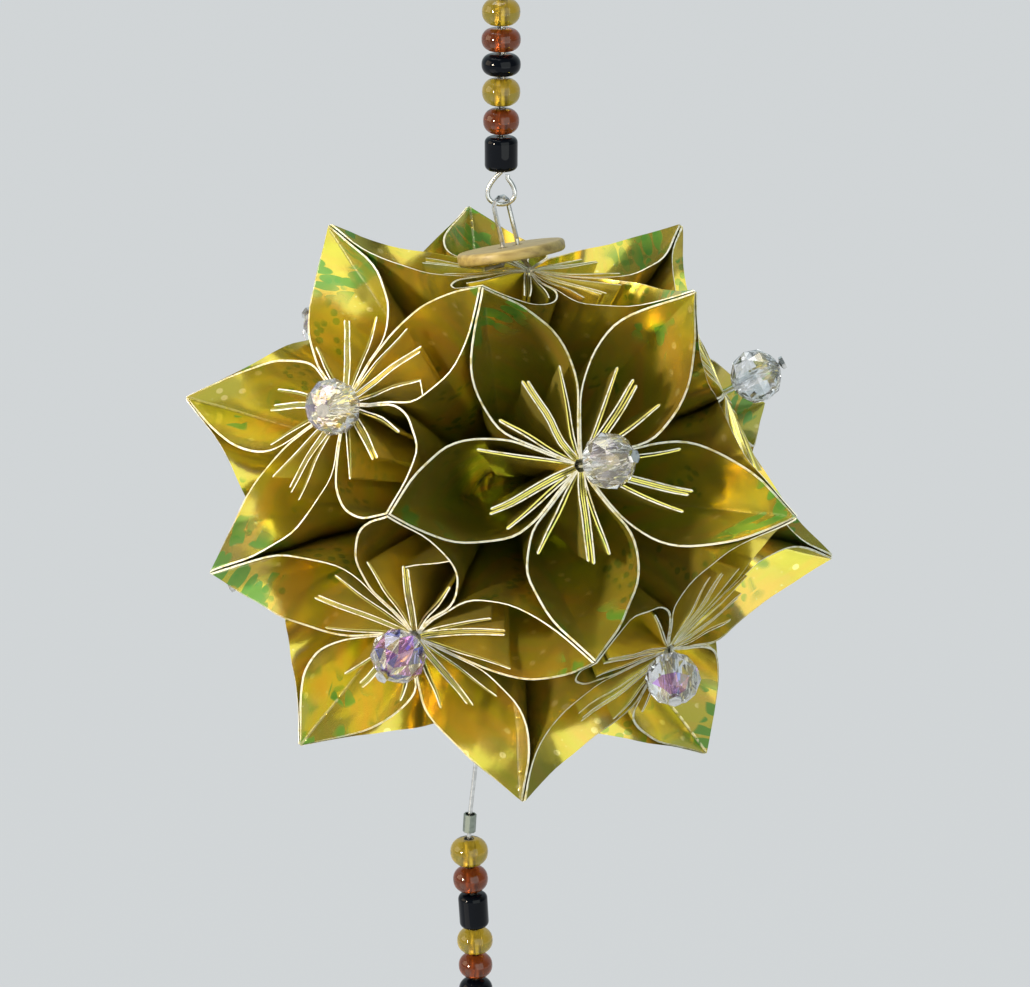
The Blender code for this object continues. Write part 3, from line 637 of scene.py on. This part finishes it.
def dent(angle, depth, phase):
    """How deep the foil is dented, as a share: nothing at the seams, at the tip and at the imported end."""
    across = math.sin(2 * angle) ** 2 * abs(math.cos(2 * angle)) ** 0.5
    wide = math.sin(WAVES_ROUND * angle + phase) * math.cos(WAVES_DOWN * depth + PHASE_DOWN * phase)
    fine = math.sin(FINE_WAVES_DOWN * depth + phase)
    return across * (1 - depth) * (2 + (wide + fine)) / 4


def mesh_of(bm, name):
    made = bpy.data.meshes.new(name)
    bm.to_mesh(made)
    bm.free()
    return made


def mark(mesh, name, kind, domain, values, field="value"):
    """Stores values on a mesh's points or faces."""
    mesh.attributes.new(name, kind, domain).data.foreach_set(field, values)


class Paper:
    """Collects the layers of one petal: points, their places on the flat sheet, faces and cut edges."""

    def __init__(self):
        self.points = []
        self.places = []
        self.faces = []
        self.cut = []

    def add_grid(self, columns):
        """Adds a grid of (point, place on the sheet) and gives the points' numbers, column by column."""
        numbers = []
        for column in columns:
            start = len(self.points)
            numbers.append(list(range(start, start + len(column))))
            self.points += [point for point, _ in column]
            self.places += [place for _, place in column]
        return numbers

    def add_layer(self, front, back, raw=lambda column: True):
        """A closed sheet between two grids of the same size, with cut edges at its two ends and its top."""
        a = self.add_grid(front)
        b = self.add_grid(back)
        for left, right in pairwise(range(len(a))):
            for low, high in pairwise(range(len(a[0]))):
                self.face((a[left][low], a[right][low], a[right][high], a[left][high]))
                self.face((b[left][high], b[right][high], b[right][low], b[left][low]))
            self.face((b[left][0], b[right][0], a[right][0], a[left][0]), cut=raw(left))
            self.face((a[left][-1], a[right][-1], b[right][-1], b[left][-1]))
        for low, high in pairwise(range(len(a[0]))):
            self.face((a[0][low], a[0][high], b[0][high], b[0][low]), cut=True)
            self.face((b[-1][low], b[-1][high], a[-1][high], a[-1][low]), cut=True)

    def face(self, corners, cut=False):
        self.faces.append(corners)
        self.cut.append(cut)

    def mesh(self, name):
        made = bpy.data.meshes.new(name)
        made.from_pydata(self.points, [], self.faces)
        mark(made, "cut_edge", "BOOLEAN", "FACE", self.cut)
        sheet = made.uv_layers.new(name="sheet")
        for loop in made.loops:
            sheet.data[loop.index].uv = self.places[loop.vertex_index]
        return made


def drawn_down(top, section, share):
    """A place between a layer's top edge and its packed end, which the ball's middle holds."""
    end = Vector((section.x, section.y, SEAM_LENGTH)) * (PACKED_END / SEAM_LENGTH)
    return top.lerp(end, share)


def wall_grid(inset, slip, phase):
    """One face of a wall layer: for each column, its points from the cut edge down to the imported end."""
    flat = both_sides(wall_side(inset))
    denting = both_sides(wall_side(inset + WAVE))
    columns = []
    for here, dented, angle in zip(flat, denting, PAPER_ANGLES):
        rim = (SEAM_LENGTH - slip) / math.cos(min(angle, 2 * TIP_PAPER_ANGLE - angle))
        column = []
        for share in WALL_ROWS_SHARES:
            section = here.lerp(dented, dent(angle, share, phase))
            top = Vector((section.x, section.y, SEAM_LENGTH)).normalized() * rim
            reach = rim + (PACKED_END - rim) * share
            place = (reach * math.cos(angle), reach * math.sin(angle))
            column.append((drawn_down(top, section, share), place))
        columns.append(column)
    return columns


def fin_line(turn, reach, beside, outset, gape):
    """A folded pleat in section: out along one side, round the fold at its end and back along the other."""
    sides = []
    for step in range(FIN_COLUMNS + 1):
        share = step / FIN_COLUMNS
        spread = outset + gape * math.sin(math.pi * share) * (1 - share / 2)
        sides.append((ROOT + (reach - ROOT) * share, spread))
    out = [on_ray(turn, along, beside + spread) for along, spread in sides]
    fold = on_ray(turn, reach + outset, beside)
    back = [on_ray(turn, along, beside - spread) for along, spread in reversed(sides)]
    return [*out, fold, *back]


def fin_grid(line, reach):
    columns = []
    for section in line:
        top = Vector((section.x, section.y, SEAM_LENGTH))
        column = []
        for share in FIN_ROWS_SHARES:
            place = (FIN_PLACE + section.length + reach, SEAM_LENGTH * share)
            column.append((drawn_down(top, section, share), place))
        columns.append(column)
    return columns


def add_fold(paper, turn, reach, beside, gape, raw_arm):
    """A fold of paper that stands inside the petal: one of its arms shows a raw edge, the other foil."""
    outer = fin_grid(fin_line(turn, reach, beside, FIN_PAPER + FOLD_GAP, gape), reach)
    inner = fin_grid(fin_line(turn, reach - FIN_PAPER, beside, FOLD_GAP, gape), reach)
    paper.add_layer(outer, inner, lambda column: (column > FIN_COLUMNS) == raw_arm)


def add_open_pleat(paper, turn, reach, aside, length):
    """The end of a pleat that was not pressed flat: its paper turns aside and runs on to the wall."""
    sides = []
    for beside in (FIN_PAPER / 2, -FIN_PAPER / 2):
        line = []
        for step in range(PLEAT_COLUMNS + 1):
            share = step / PLEAT_COLUMNS
            line.append(on_ray(turn, reach) + on_ray(turn + aside, length * share, beside))
        sides.append(fin_grid(line, reach))
    paper.add_layer(*sides)


def add_floor(paper):
    """Closes a petal at its packed end."""
    walls = both_sides(wall_side(LINING_IN + PAPER / 2))
    grids = []
    for share in FLOOR_SHARES:
        columns = []
        for side, other in zip(walls[: len(walls) // 2], walls[::-1]):
            sections = (side, side.lerp(other, 0.5), other)
            column = [(drawn_down(Vector((*p, SEAM_LENGTH)), p, share), (p.x, p.y)) for p in sections]
            columns.append(column)
        grids.append(columns)
    paper.add_layer(*grids, lambda column: False)


def petal_mesh(name, fins, phase):
    paper = Paper()
    for inset, slip in ((OUTER_LAYER_IN, 0), (LINING_IN, LINING_SLIP)):
        paper.add_layer(wall_grid(inset, slip, phase), wall_grid(inset + PAPER, slip, phase))
    add_floor(paper)
    for index, (degrees, share, gape) in enumerate(fins):
        turn = math.radians(degrees)
        reach = FIN_REACH * share
        if index == MIDDLE_FIN:
            side = MIDDLE_FOLD_ASIDE + gape / 2
            add_fold(paper, turn, reach, side, gape / 2, False)
            add_fold(paper, turn, reach * SHORTER_FOLD, -side, gape / 2, True)
        else:
            add_fold(paper, turn, reach, 0, gape, turn < 0)
    if name in OPEN_PLEATS:
        index, aside, length = OPEN_PLEATS[name]
        degrees, share, _ = fins[index]
        add_open_pleat(paper, math.radians(degrees), FIN_REACH * share, math.radians(aside), length)
    made = paper.mesh(name)
    bm = bmesh.new()
    bm.from_mesh(made)
    bmesh.ops.recalc_face_normals(bm, faces=bm.faces[:])
    bm.to_mesh(made)
    bm.free()
    return made


def petal_collection():
    """The cuts of petal that the flowers are made from, kept out of the scene."""
    holder = bpy.data.collections.new("petal cuts")
    for name, (fins, phase) in PETAL_CUTS.items():
        holder.objects.link(bpy.data.objects.new(name, petal_mesh(name, fins, phase)))
    return holder


# Geometry Nodes

def in_scene(name, data):
    made = bpy.data.objects.new(name, data)
    bpy.context.scene.collection.objects.link(made)
    return made


def new_tree(name, inputs):
    """A tree with these named inputs beside its geometry: its nodes, what comes in, and its end."""
    tree = bpy.data.node_groups.new(name, "GeometryNodeTree")
    for label, kind in {"Geometry": "Geometry", **inputs}.items():
        tree.interface.new_socket(label, in_out="INPUT", socket_type="NodeSocket" + kind)
    tree.interface.new_socket("Geometry", in_out="OUTPUT", socket_type="NodeSocketGeometry")
    nodes = Nodes(tree)
    return nodes, nodes.add("NodeGroupInput").outputs, nodes.add("NodeGroupOutput")


def set_inputs(modifier, values):
    """Sets a modifier's named inputs by their sockets' identifiers."""
    for socket in modifier.node_group.interface.items_tree:
        if socket.item_type == "SOCKET" and socket.in_out == "INPUT" and socket.name in values:
            modifier[socket.identifier] = values[socket.name]


def evaluated_mesh(source):
    bpy.context.view_layer.update()
    evaluated = source.evaluated_get(bpy.context.evaluated_depsgraph_get())
    return bpy.data.meshes.new_from_object(evaluated)


def baked(name, start_mesh, tree, values):
    """A plain object with what the tree makes from a mesh."""
    source = in_scene(name + "_source", start_mesh)
    modifier = source.modifiers.new("tree", "NODES")
    modifier.node_group = tree
    set_inputs(modifier, values)
    mesh = evaluated_mesh(source)
    mesh.name = name
    bpy.data.objects.remove(source)
    return in_scene(name, mesh)


def named(nodes, name, kind):
    made = nodes.add("GeometryNodeInputNamedAttribute", {"Name": name}, data_type=kind)
    return made.outputs["Attribute"]


def end_in_two_materials(nodes, end, copies, usual, special, marked):
    """Makes the copies real, in the usual material but for the marked faces."""
    geometry = nodes.add("GeometryNodeRealizeInstances", {0: copies}).outputs[0]
    for material, selection in ((usual, True), (special, named(nodes, marked, "BOOLEAN"))):
        inputs = {"Geometry": geometry, "Selection": selection, "Material": material}
        geometry = nodes.add("GeometryNodeSetMaterial", inputs).outputs[0]
    nodes.feed(end, {0: geometry})


def flower_tree():
    """Turns a petal of each point's own cut round the flower's axis, and numbers the sheets."""
    nodes, given, end = new_tree("petals round an axis", {
        "Petal Cuts": "Collection",
        "Petals": "Int",
        "Sheets Seed": "Int",
        "Foil": "Material",
        "Core": "Material",
    })
    index = nodes.add("GeometryNodeInputIndex").outputs[0]
    heading = nodes.times(index, nodes.maths("DIVIDE", 2 * math.pi, given["Petals"]))
    euler = nodes.add("ShaderNodeCombineXYZ", {"Z": heading}).outputs[0]
    cuts = nodes.add("GeometryNodeCollectionInfo", {
        "Collection": given["Petal Cuts"],
        "Separate Children": True,
        "Reset Children": True,
    })
    petals = nodes.add("GeometryNodeInstanceOnPoints", {
        "Points": given["Geometry"],
        "Instance": cuts.outputs[0],
        "Pick Instance": True,
        "Instance Index": named(nodes, "cut", "INT"),
        "Rotation": nodes.add("FunctionNodeEulerToRotation", {0: euler}).outputs[0],
    })
    seeded = {"ID": index, "Seed": given["Sheets Seed"]}
    number = nodes.add("FunctionNodeRandomValue", seeded, data_type="FLOAT")
    inputs = {"Geometry": petals.outputs[0], "Name": "sheet_number", "Value": number.outputs[1]}
    numbered = nodes.add("GeometryNodeStoreNamedAttribute", inputs, data_type="FLOAT", domain="INSTANCE")
    end_in_two_materials(nodes, end, numbered.outputs[0], given["Foil"], given["Core"], "cut_edge")
    return nodes.tree


def along_points_tree():
    """Puts a copy of one object at each point, turned along it and stretched to its width and length."""
    nodes, given, end = new_tree("pieces on a wire", {
        "Piece": "Object",
        "Glass": "Material",
        "Lining": "Material",
    })
    along = {"Vector": named(nodes, "along", "FLOAT_VECTOR")}
    copies = nodes.add("GeometryNodeInstanceOnPoints", {
        "Points": given["Geometry"],
        "Instance": nodes.add("GeometryNodeObjectInfo", {"Object": given["Piece"]}).outputs["Geometry"],
        "Rotation": nodes.add("FunctionNodeAlignRotationToVector", along, axis="Z").outputs[0],
        "Scale": named(nodes, "stretch", "FLOAT_VECTOR"),
    })
    end_in_two_materials(nodes, end, copies.outputs[0], given["Glass"], given["Lining"], "lining")
    return nodes.tree


def finished(piece, slot, *nodes, smooth=None):
    """Makes a piece ride on the ball and stand for its nodes. The slot is not used."""
    if smooth is not None:
        piece.data.shade_smooth()
        piece.data.set_sharp_from_angle(angle=math.radians(smooth))
    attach(piece, "root")
    if nodes:
        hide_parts(*nodes)
    return piece


def petal_points(name):
    """A point for each petal of a flower, with the number of its cut and how strong the painted highlight
    along its fold is.
    """
    made = bpy.data.meshes.new("start_" + name)
    made.from_pydata([(0, 0, 0)] * PETALS_PER_FLOWER, [], [])
    names = sorted(PETAL_CUTS)
    cuts = [names.index("petal_" + letter) for letter in FLOWER_CUTS[name]]
    mark(made, "cut", "INT", "POINT", cuts)
    mark(made, "fold_highlight", "FLOAT", "POINT", FOLD_HIGHLIGHTS.get(name, FOLD_HIGHLIGHTS_UNSEEN))
    return made


def make_flowers(foil, core):
    cuts = petal_collection()
    tree = flower_tree()
    noise.seed_set(WOBBLE_SEED)  # without it the clock would seed the wobble
    for number, name in enumerate(AXES):
        flower = baked("petals_" + name, petal_points(name), tree, {
            "Petal Cuts": cuts,
            "Petals": PETALS_PER_FLOWER,
            "Sheets Seed": number,
            "Foil": foil,
            "Core": core,
        })
        into_place = flower_placement(name)
        for vert in flower.data.vertices:
            vert.co = in_the_part(handled(wobbled(into_place @ vert.co)))
        finished(flower, "gold_foil_paper", "flower_" + name, smooth=35)


# Crystals

CRYSTAL_SIDES = 10
CRYSTAL_ROWS_DEGREES = (62, 34, 0, -34, -62)
CRYSTAL_FLOWERS = [name for name in AXES if name not in ("top", "bottom")]
GOLDEN_SHARE = 0.618  # steps by this share spread the facets' tints evenly


def facet_ring(width, height, turn, sides=CRYSTAL_SIDES):
    step = 2 * math.pi / sides
    return [Vector((width * math.cos(turn + step * k), width * math.sin(turn + step * k), height))
            for k in range(sides)]


def crystal_mesh():
    """A fire-polished bead, 1 across and 1 long, with a bore. Its rows of facets step by half a facet."""
    bm = bmesh.new()
    bore_share = BORE / CRYSTAL_WIDTH / 2
    rows = []
    for row, level in enumerate(CRYSTAL_ROWS_DEGREES):
        level = math.radians(level)
        turn = math.pi / CRYSTAL_SIDES * (row % 2)
        rows.append(facet_ring(math.cos(level) / 2, math.sin(level) / 2, turn))
    top = facet_ring(bore_share, 0.5, 0)
    bottom = facet_ring(bore_share, -0.5, 0)
    loops = [[bm.verts.new(p) for p in ring] for ring in [top, *rows, bottom]]
    steps = [0, 0, 1, 0, 1, 0, 0]  # which rows stand half a facet on
    for (upper, this), (lower, below) in pairwise(zip(loops, steps)):
        for k in range(CRYSTAL_SIDES):
            after = (k + 1) % CRYSTAL_SIDES
            if this < below:
                bm.faces.new((upper[k], lower[k - 1], lower[k]))
                bm.faces.new((upper[k], lower[k], upper[after]))
            else:
                bm.faces.new((upper[k], lower[k], lower[after]))
                bm.faces.new((upper[k], lower[after], upper[after]))
    for k in range(CRYSTAL_SIDES):
        after = (k + 1) % CRYSTAL_SIDES
        bm.faces.new((loops[-1][k], loops[0][k], loops[0][after], loops[-1][after]))
    bmesh.ops.recalc_face_normals(bm, faces=bm.faces[:])
    made = mesh_of(bm, "crystal")
    tints = [(k * GOLDEN_SHARE) % 1 for k in range(len(made.polygons))]
    mark(made, "facet_tint", "FLOAT", "FACE", tints)
    return made


def flower_middle(name):
    return handled(AXES[name] * SEAM_LENGTH)


def flower_axis(name):
    return (flower_middle(name) - handled(AXES[name] * PACKED_END)).normalized()


def crystal_middle(name):
    sideways, upwards, out = CRYSTAL_PLACES.get(name, CRYSTAL_PLACE_UNSEEN)
    axis = flower_axis(name)
    side = Vector((0, 0, 1)).cross(axis).normalized()
    return flower_middle(name) + side * sideways + axis.cross(side) * upwards + axis * out


def one_point(name, place, along, stretch):
    """A point for a piece, with the way that it lies and its size."""
    made = bpy.data.meshes.new(name)
    made.from_pydata([place], [], [])
    mark(made, "along", "FLOAT_VECTOR", "POINT", [*along], "vector")
    mark(made, "stretch", "FLOAT_VECTOR", "POINT", [*stretch], "vector")
    return made


def coat(crystal, strength, side, least, clear_share):
    """Marks the facets where the coating's colour is painted as a reflection, for the crystal's material to
    read.
    """
    side = Vector(side).normalized()
    tints = crystal.data.attributes["facet_tint"].data
    shows = [strength if face.normal.dot(side) > least and tint.value >= clear_share else 0
             for face, tint in zip(crystal.data.polygons, tints)]
    mark(crystal.data, "painted_pearl", "FLOAT", "FACE", shows)


def make_crystals(glass, tree):
    pattern = bpy.data.objects.new("crystal_pattern", crystal_mesh())
    size = (CRYSTAL_WIDTH, CRYSTAL_WIDTH, CRYSTAL_LENGTH)
    for name in CRYSTAL_FLOWERS:
        middle = in_the_part(crystal_middle(name))
        lean = LEANING @ (crystal_middle(name) - flower_middle(name)).normalized()
        start = one_point("crystal_place", middle, lean, size)
        crystal = baked("cut_crystal_" + name, start, tree, {"Piece": pattern, "Glass": glass})
        coat(crystal, *CRYSTAL_PAINTED_PEARLS.get(name, CRYSTAL_PAINTED_PEARL_UNSEEN))
        finished(crystal, "cut_glass", "crystal_" + name)


# Button

def cylinder(name, width, length, sides, middle=(0, 0, 0), rounding=0):
    """A plain or round-edged cylinder along Z."""
    bm = bmesh.new()
    bmesh.ops.create_cone(bm, cap_ends=True, segments=sides, radius1=width / 2, radius2=width / 2,
                          depth=length, matrix=Matrix.Translation(middle))
    if rounding:
        rims = [edge for edge in bm.edges if abs(edge.verts[0].co.z - edge.verts[1].co.z) < rounding]
        bmesh.ops.bevel(bm, geom=rims, offset=rounding, segments=5, profile=0.5, affect="EDGES")
    return in_scene(name, mesh_of(bm, name))


def make_button(wood):
    """The turned wooden disc over the top flower, with two holes for the link's legs."""
    disc = cylinder("disc", BUTTON_WIDTH, BUTTON_THICKNESS, BUTTON_SIDES, rounding=BUTTON_EDGE)
    across = Vector((math.cos(LINK_TURN), math.sin(LINK_TURN), 0)) * LINK_HALF_WIDTH
    drills = [cylinder("drill", BORE, 3 * BUTTON_THICKNESS, HOLE_SIDES, at) for at in (across, -across)]
    for drill in drills:
        hole = disc.modifiers.new("hole", "BOOLEAN")
        hole.operation = "DIFFERENCE"
        hole.object = drill
    button = in_scene("wooden_button", evaluated_mesh(disc))
    for piece in (disc, *drills):
        bpy.data.objects.remove(piece)
    middle = flower_middle("top") + flower_axis("top") * BUTTON_LIFT
    turn = Matrix.Rotation(BUTTON_TILT, 3, "Y") @ Matrix.Rotation(BUTTON_LEAN_BACK, 3, "X")
    for vert in button.data.vertices:
        vert.co = turn @ vert.co + in_the_part(middle) - Vector((BUTTON_SHIFT, 0, 0))
    button.data.materials.clear()
    button.data.materials.append(wood)
    finished(button, "pale_wood", "button", smooth=30)


# Wires and their beads

def arc(centre, across, up, radius, turns, steps):
    start, end = turns
    angles = [start + (end - start) * step / steps for step in range(steps + 1)]
    return [centre + across * radius * math.cos(a) + up * radius * math.sin(a) for a in angles]


def drop(top, across, up, half_width, height, start, steps):
    """Points round a drop-shaped eye, from a turn down one side, round its bottom and up to its top."""
    points = []
    for step in range(steps + 1):
        turn = start + (2 * math.pi - start) * step / steps
        spread = math.sin(turn) * math.sin(turn / 2) / DROP_WIDEST
        points.append(top + across * half_width * spread - up * height * (1 - math.cos(turn)) / 2)
    return points


def smooth(a, b, c, d, share):
    rise = (c - a) / 2
    fall = (d - b) / 2
    square = share * share
    cube = square * share
    start = (2 * cube - 3 * square + 1) * b + (cube - 2 * square + share) * rise
    return start + (3 * square - 2 * cube) * c + (cube - square) * fall


def smooth_route(points, steps):
    ends = [2 * points[0] - points[1], *points, 2 * points[-1] - points[-2]]
    route = []
    for index in range(len(points) - 1):
        four = ends[index : index + 4]
        route += [smooth(*four, step / steps) for step in range(steps)]
    return [*route, points[-1]]


def upper_route():
    """The eye that hangs the ball's link, the run through the beads, and the hanging loop."""
    up = Vector((0, 0, 1))
    across = Vector((1, 0, 0))
    line = BALL_CENTRE + Vector((STRING_SHIFT, 0, 0))
    eye = drop(line + up * UPPER_BEADS_START, across, up, EYE_HALF_WIDTH, EYE_HEIGHT, EYE_OPENING, LOOP_STEPS)
    free_end = Vector((eye[0].x, eye[0].y, line.z + UPPER_BEADS_START - FIT))
    loop_middle = line + up * (LOOP_TOP + WIRE / 2 + HANGING_LOOP_RADIUS)
    loop = arc(loop_middle, across, up, HANGING_LOOP_RADIUS, LOOP_TURNS, LOOP_STEPS)
    return [free_end, *eye, line + up * LOOP_TOP, *loop]


def lower_route():
    return smooth_route([BALL_CENTRE + Vector((x, 0, z)) for x, z in LOWER_ROUTE], ROUTE_STEPS)


def wire_curve(name, route, metal):
    curve = bpy.data.curves.new(name, "CURVE")
    curve.dimensions = "3D"
    curve.bevel_depth = WIRE / 2
    curve.bevel_resolution = 3
    curve.use_fill_caps = True
    spline = curve.splines.new("POLY")
    spline.points.add(len(route) - 1)
    for target, place in zip(spline.points, route):
        target.co = (*place, 1)
    spline.use_smooth = True
    curve.materials.append(metal)
    return in_scene(name, curve)


def turned(profile, sides, linings):
    """A closed profile turned about Z, with the faces of some of its edges marked as the bore's lining."""
    bm = bmesh.new()
    rings = []
    for radius, height in profile:
        rings.append([bm.verts.new(p) for p in facet_ring(radius, height, 0, sides)])
    marks = []
    for index, ring in enumerate(rings):
        below = rings[(index + 1) % len(rings)]
        for k in range(sides):
            after = (k + 1) % sides
            bm.faces.new((ring[k], below[k], below[after], ring[after]))
            marks.append(index in linings)
    bmesh.ops.recalc_face_normals(bm, faces=bm.faces[:])
    made = mesh_of(bm, "turned")
    mark(made, "lining", "BOOLEAN", "FACE", marks)
    return made


def bead_mesh(width, length, rounding):
    """A bead with rounded shoulders and a bore."""
    half = length / 2
    bore = BORE / 2
    profile = []
    for step in range(SHOULDER_STEPS + 1):
        turn = math.pi / 2 * step / SHOULDER_STEPS
        profile.append((width / 2 - rounding * (1 - math.sin(turn)), half - rounding * (1 - math.cos(turn))))
    profile += [(radius, -height) for radius, height in reversed(profile)]
    profile = [(bore, half), *profile, (bore, -half)]
    return turned(profile, BEAD_SIDES, {len(profile) - 1})


def place_on_route(route, height):
    for a, b in pairwise(route):
        if min(a.z, b.z) <= height <= max(a.z, b.z):
            way = (a - b).normalized()
            return a.lerp(b, (height - a.z) / (b.z - a.z)), way if way.z > 0 else -way
    raise ValueError("the beads reach past the end of their wire")


def make_beads(where, beads, route, start, way, glasses, lining, tree):
    """Threads one wire's beads, each in its own glass."""
    made = []
    height = start
    for number, (colour, width, room) in enumerate(beads, 1):
        length = room - BEAD_GAP
        glass = colour.removesuffix("_long")
        rounding = length * SHOULDER_SHARE if colour == glass else LONG_BEAD_SHOULDER
        pattern = bpy.data.objects.new("bead_pattern", bead_mesh(width, length, rounding))
        place, along = place_on_route(route, height + way * room / 2)
        start_mesh = one_point("bead_place", place, along, (1, 1, 1))
        name = f"{where}_bead_{number}_{colour}"
        values = {"Piece": pattern, "Glass": glasses[glass], "Lining": lining}
        bead = baked("glass_" + name, start_mesh, tree, values)
        made.append(finished(bead, glass + "_glass", name, smooth=50))
        height += way * room
    return made


def make_strings(metal, dull, glasses, lining, tree):
    """Both beaded wires. Each ends just outside the view, one in its hanging loop and one in its crimp."""
    upper = upper_route()
    straight = upper[LOOP_STEPS + 1 : LOOP_STEPS + 3]
    base = BALL_CENTRE.z
    beads = make_beads("upper", UPPER_BEADS, straight, base + UPPER_BEADS_START, 1, glasses, lining, tree)
    wire = finished(wire_curve("hanging_wire", upper, metal), "silver_wire", "upper_wire")
    lower = lower_route()
    beads = make_beads("lower", LOWER_BEADS, lower, base - LOWER_BEADS_START, -1, glasses, lining, tree)
    wire = finished(wire_curve("tail_wire", lower, metal), "silver_wire", "lower_wire")
    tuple(lower[0])
    for name in ("upper_crimp", "lower_crimp", "lower_end_crimp"):
        painted(name, dull)


def painted(name, finish):
    """Gives a node that keeps its own shape its finish."""
    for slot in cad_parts[name].material_slots:
        slot.material = finish


# Stage

FLOOR_DROP = 0.95
FLOOR_RADIUS = 12
FLOOR_SIDES = 96
FLOOR_PAINT = (0.60, 0.63, 0.68, 1)
FLOOR_COLOUR = (0.635, 0.66, 0.67, 1)
FLOOR_EVENNESS = 0.9  # how much of what is seen of the floor is its even colour, and not the light on it
FLOOR_GLOW = 1.08  # makes up for the rest, so that the floor ends without a line
ROOM_COLOUR = (0.82, 0.95, 1.0, 1)
FRONT_GLOW = 0.20
BACK_GLOW = 0.62
GLOW_RISES = (-0.05, 0.5)  # how far back the room's glow starts to rise and where it is full

# Each lamp's place from the ball's centre, its width, its watts and its colour
LAMPS = {
    "key": ((-0.74, -0.62, 0.22), 0.13, 12.5, (1.0, 0.85, 0.66)),
    "left card": ((-0.82, -0.05, 0.30), 0.55, 2.2, (1.0, 0.82, 0.60)),
    "low card": ((-0.45, -0.30, -0.42), 0.45, 0.5, (1.0, 0.92, 0.80)),
    "top card": ((-0.1, 0.10, 0.7), 0.5, 2.8, (1, 1, 1)),
    "front card": ((0.42, -0.78, 0.26), 1.0, 4.6, (0.95, 1.0, 0.95)),
}


def facing(thing, towards):
    """Turns a camera or lamp so that it looks back along this direction."""
    thing.rotation_euler = towards.to_track_quat("Z", "Y").to_euler()


def make_camera():
    data = bpy.data.cameras.new("photo view")
    data.sensor_width = SENSOR_WIDTH
    focal_pixels = PIXELS_PER_METRE * CAMERA_DISTANCE
    data.lens = SENSOR_WIDTH * focal_pixels / PHOTO_WIDTH
    data.shift_x = (PHOTO_MIDDLE_X - BALL_PIXEL_X) / PHOTO_WIDTH
    data.shift_y = (BALL_PIXEL_Y - PHOTO_MIDDLE_Y) / PHOTO_WIDTH
    data.clip_start = 0.01
    camera = in_scene("camera", data)
    towards = Vector((0, -math.cos(CAMERA_HEIGHT_TURN), math.sin(CAMERA_HEIGHT_TURN)))
    camera.location = BALL_CENTRE + towards * CAMERA_DISTANCE
    facing(camera, towards)
    bpy.context.scene.camera = camera


def make_lamps():
    for name, (place, width, watts, colour) in LAMPS.items():
        data = bpy.data.lights.new(name, "AREA")
        data.size = width
        data.energy = watts
        data.color = colour
        lamp = in_scene(name, data)
        lamp.location = BALL_CENTRE + Vector(place)
        facing(lamp, Vector(place))
        lamp.visible_camera = False


def seen_share(nodes):
    """1 for rays that show the stage itself: to the camera, in metal and through glass."""
    path = nodes.add("ShaderNodeLightPath").outputs
    seen = nodes.plus(path["Is Camera Ray"], path["Is Glossy Ray"])
    return nodes.maths("ADD", seen, path["Is Transmission Ray"], clamp=True)


def make_floor():
    """A plain pale floor, so far down that the ball can be seen from below too."""
    mesh = bpy.data.meshes.new("floor")
    height = Vector((0, 0, BALL_CENTRE.z - FLOOR_DROP))
    corners = [height + corner for corner in facet_ring(FLOOR_RADIUS, 0, 0, FLOOR_SIDES)]
    mesh.from_pydata(corners, [], [range(FLOOR_SIDES)])
    made, nodes, shader = new_material("pale floor")
    nodes.feed(shader, {"Base Color": FLOOR_PAINT, "Roughness": 0.9})
    even = nodes.add("ShaderNodeEmission", {"Color": FLOOR_COLOUR, "Strength": FLOOR_GLOW})
    evenness = nodes.times(seen_share(nodes), FLOOR_EVENNESS)
    both = nodes.add("ShaderNodeMixShader", {0: evenness, 1: shader.outputs[0], 2: even.outputs[0]})
    nodes.feed(made.node_tree.nodes["Material Output"], {"Surface": both.outputs[0]})
    mesh.materials.append(made)
    floor = in_scene("floor", mesh)


def make_surroundings():
    """A room with a pale wall behind the ball and dim space before it, and pale to the camera all round."""
    world = bpy.data.worlds.new("studio")
    world.use_nodes = True
    nodes = Nodes(world.node_tree)
    direction = nodes.add("ShaderNodeTexCoord").outputs["Generated"]
    back = nodes.add("ShaderNodeSeparateXYZ", {0: direction}).outputs["Y"]
    glow = nodes.plus(FRONT_GLOW, nodes.times(nodes.ramp(back, *GLOW_RISES), BACK_GLOW - FRONT_GLOW))
    camera_ray = nodes.add("ShaderNodeLightPath").outputs["Is Camera Ray"]
    nodes.feed(world.node_tree.nodes["Background"], {
        "Strength": nodes.plus(glow, nodes.times(nodes.minus(1, glow), camera_ray)),
        "Color": nodes.mixed(camera_ray, ROOM_COLOUR, FLOOR_COLOUR),
    })
    bpy.context.scene.world = world


def build():
    silver, lining, dull = (metal_material(name, *look) for name, look in METALS.items())
    glasses = {name: bead_glass(name + " bead glass", *look) for name, look in BEAD_GLASSES.items()}
    make_camera()
    tree = along_points_tree()
    make_strings(silver, dull, glasses, lining, tree)
    make_flowers(foil_material(), core_material())
    make_crystals(crystal_material(), tree)
    for name in CRYSTAL_FLOWERS:
        painted("pin_" + name, silver)
    painted("link_and_core_wire", silver)
    make_button(wood_material())
    make_floor()
    make_surroundings()
    make_lamps()
    bpy.context.scene.view_settings.view_transform = "Standard"


build()
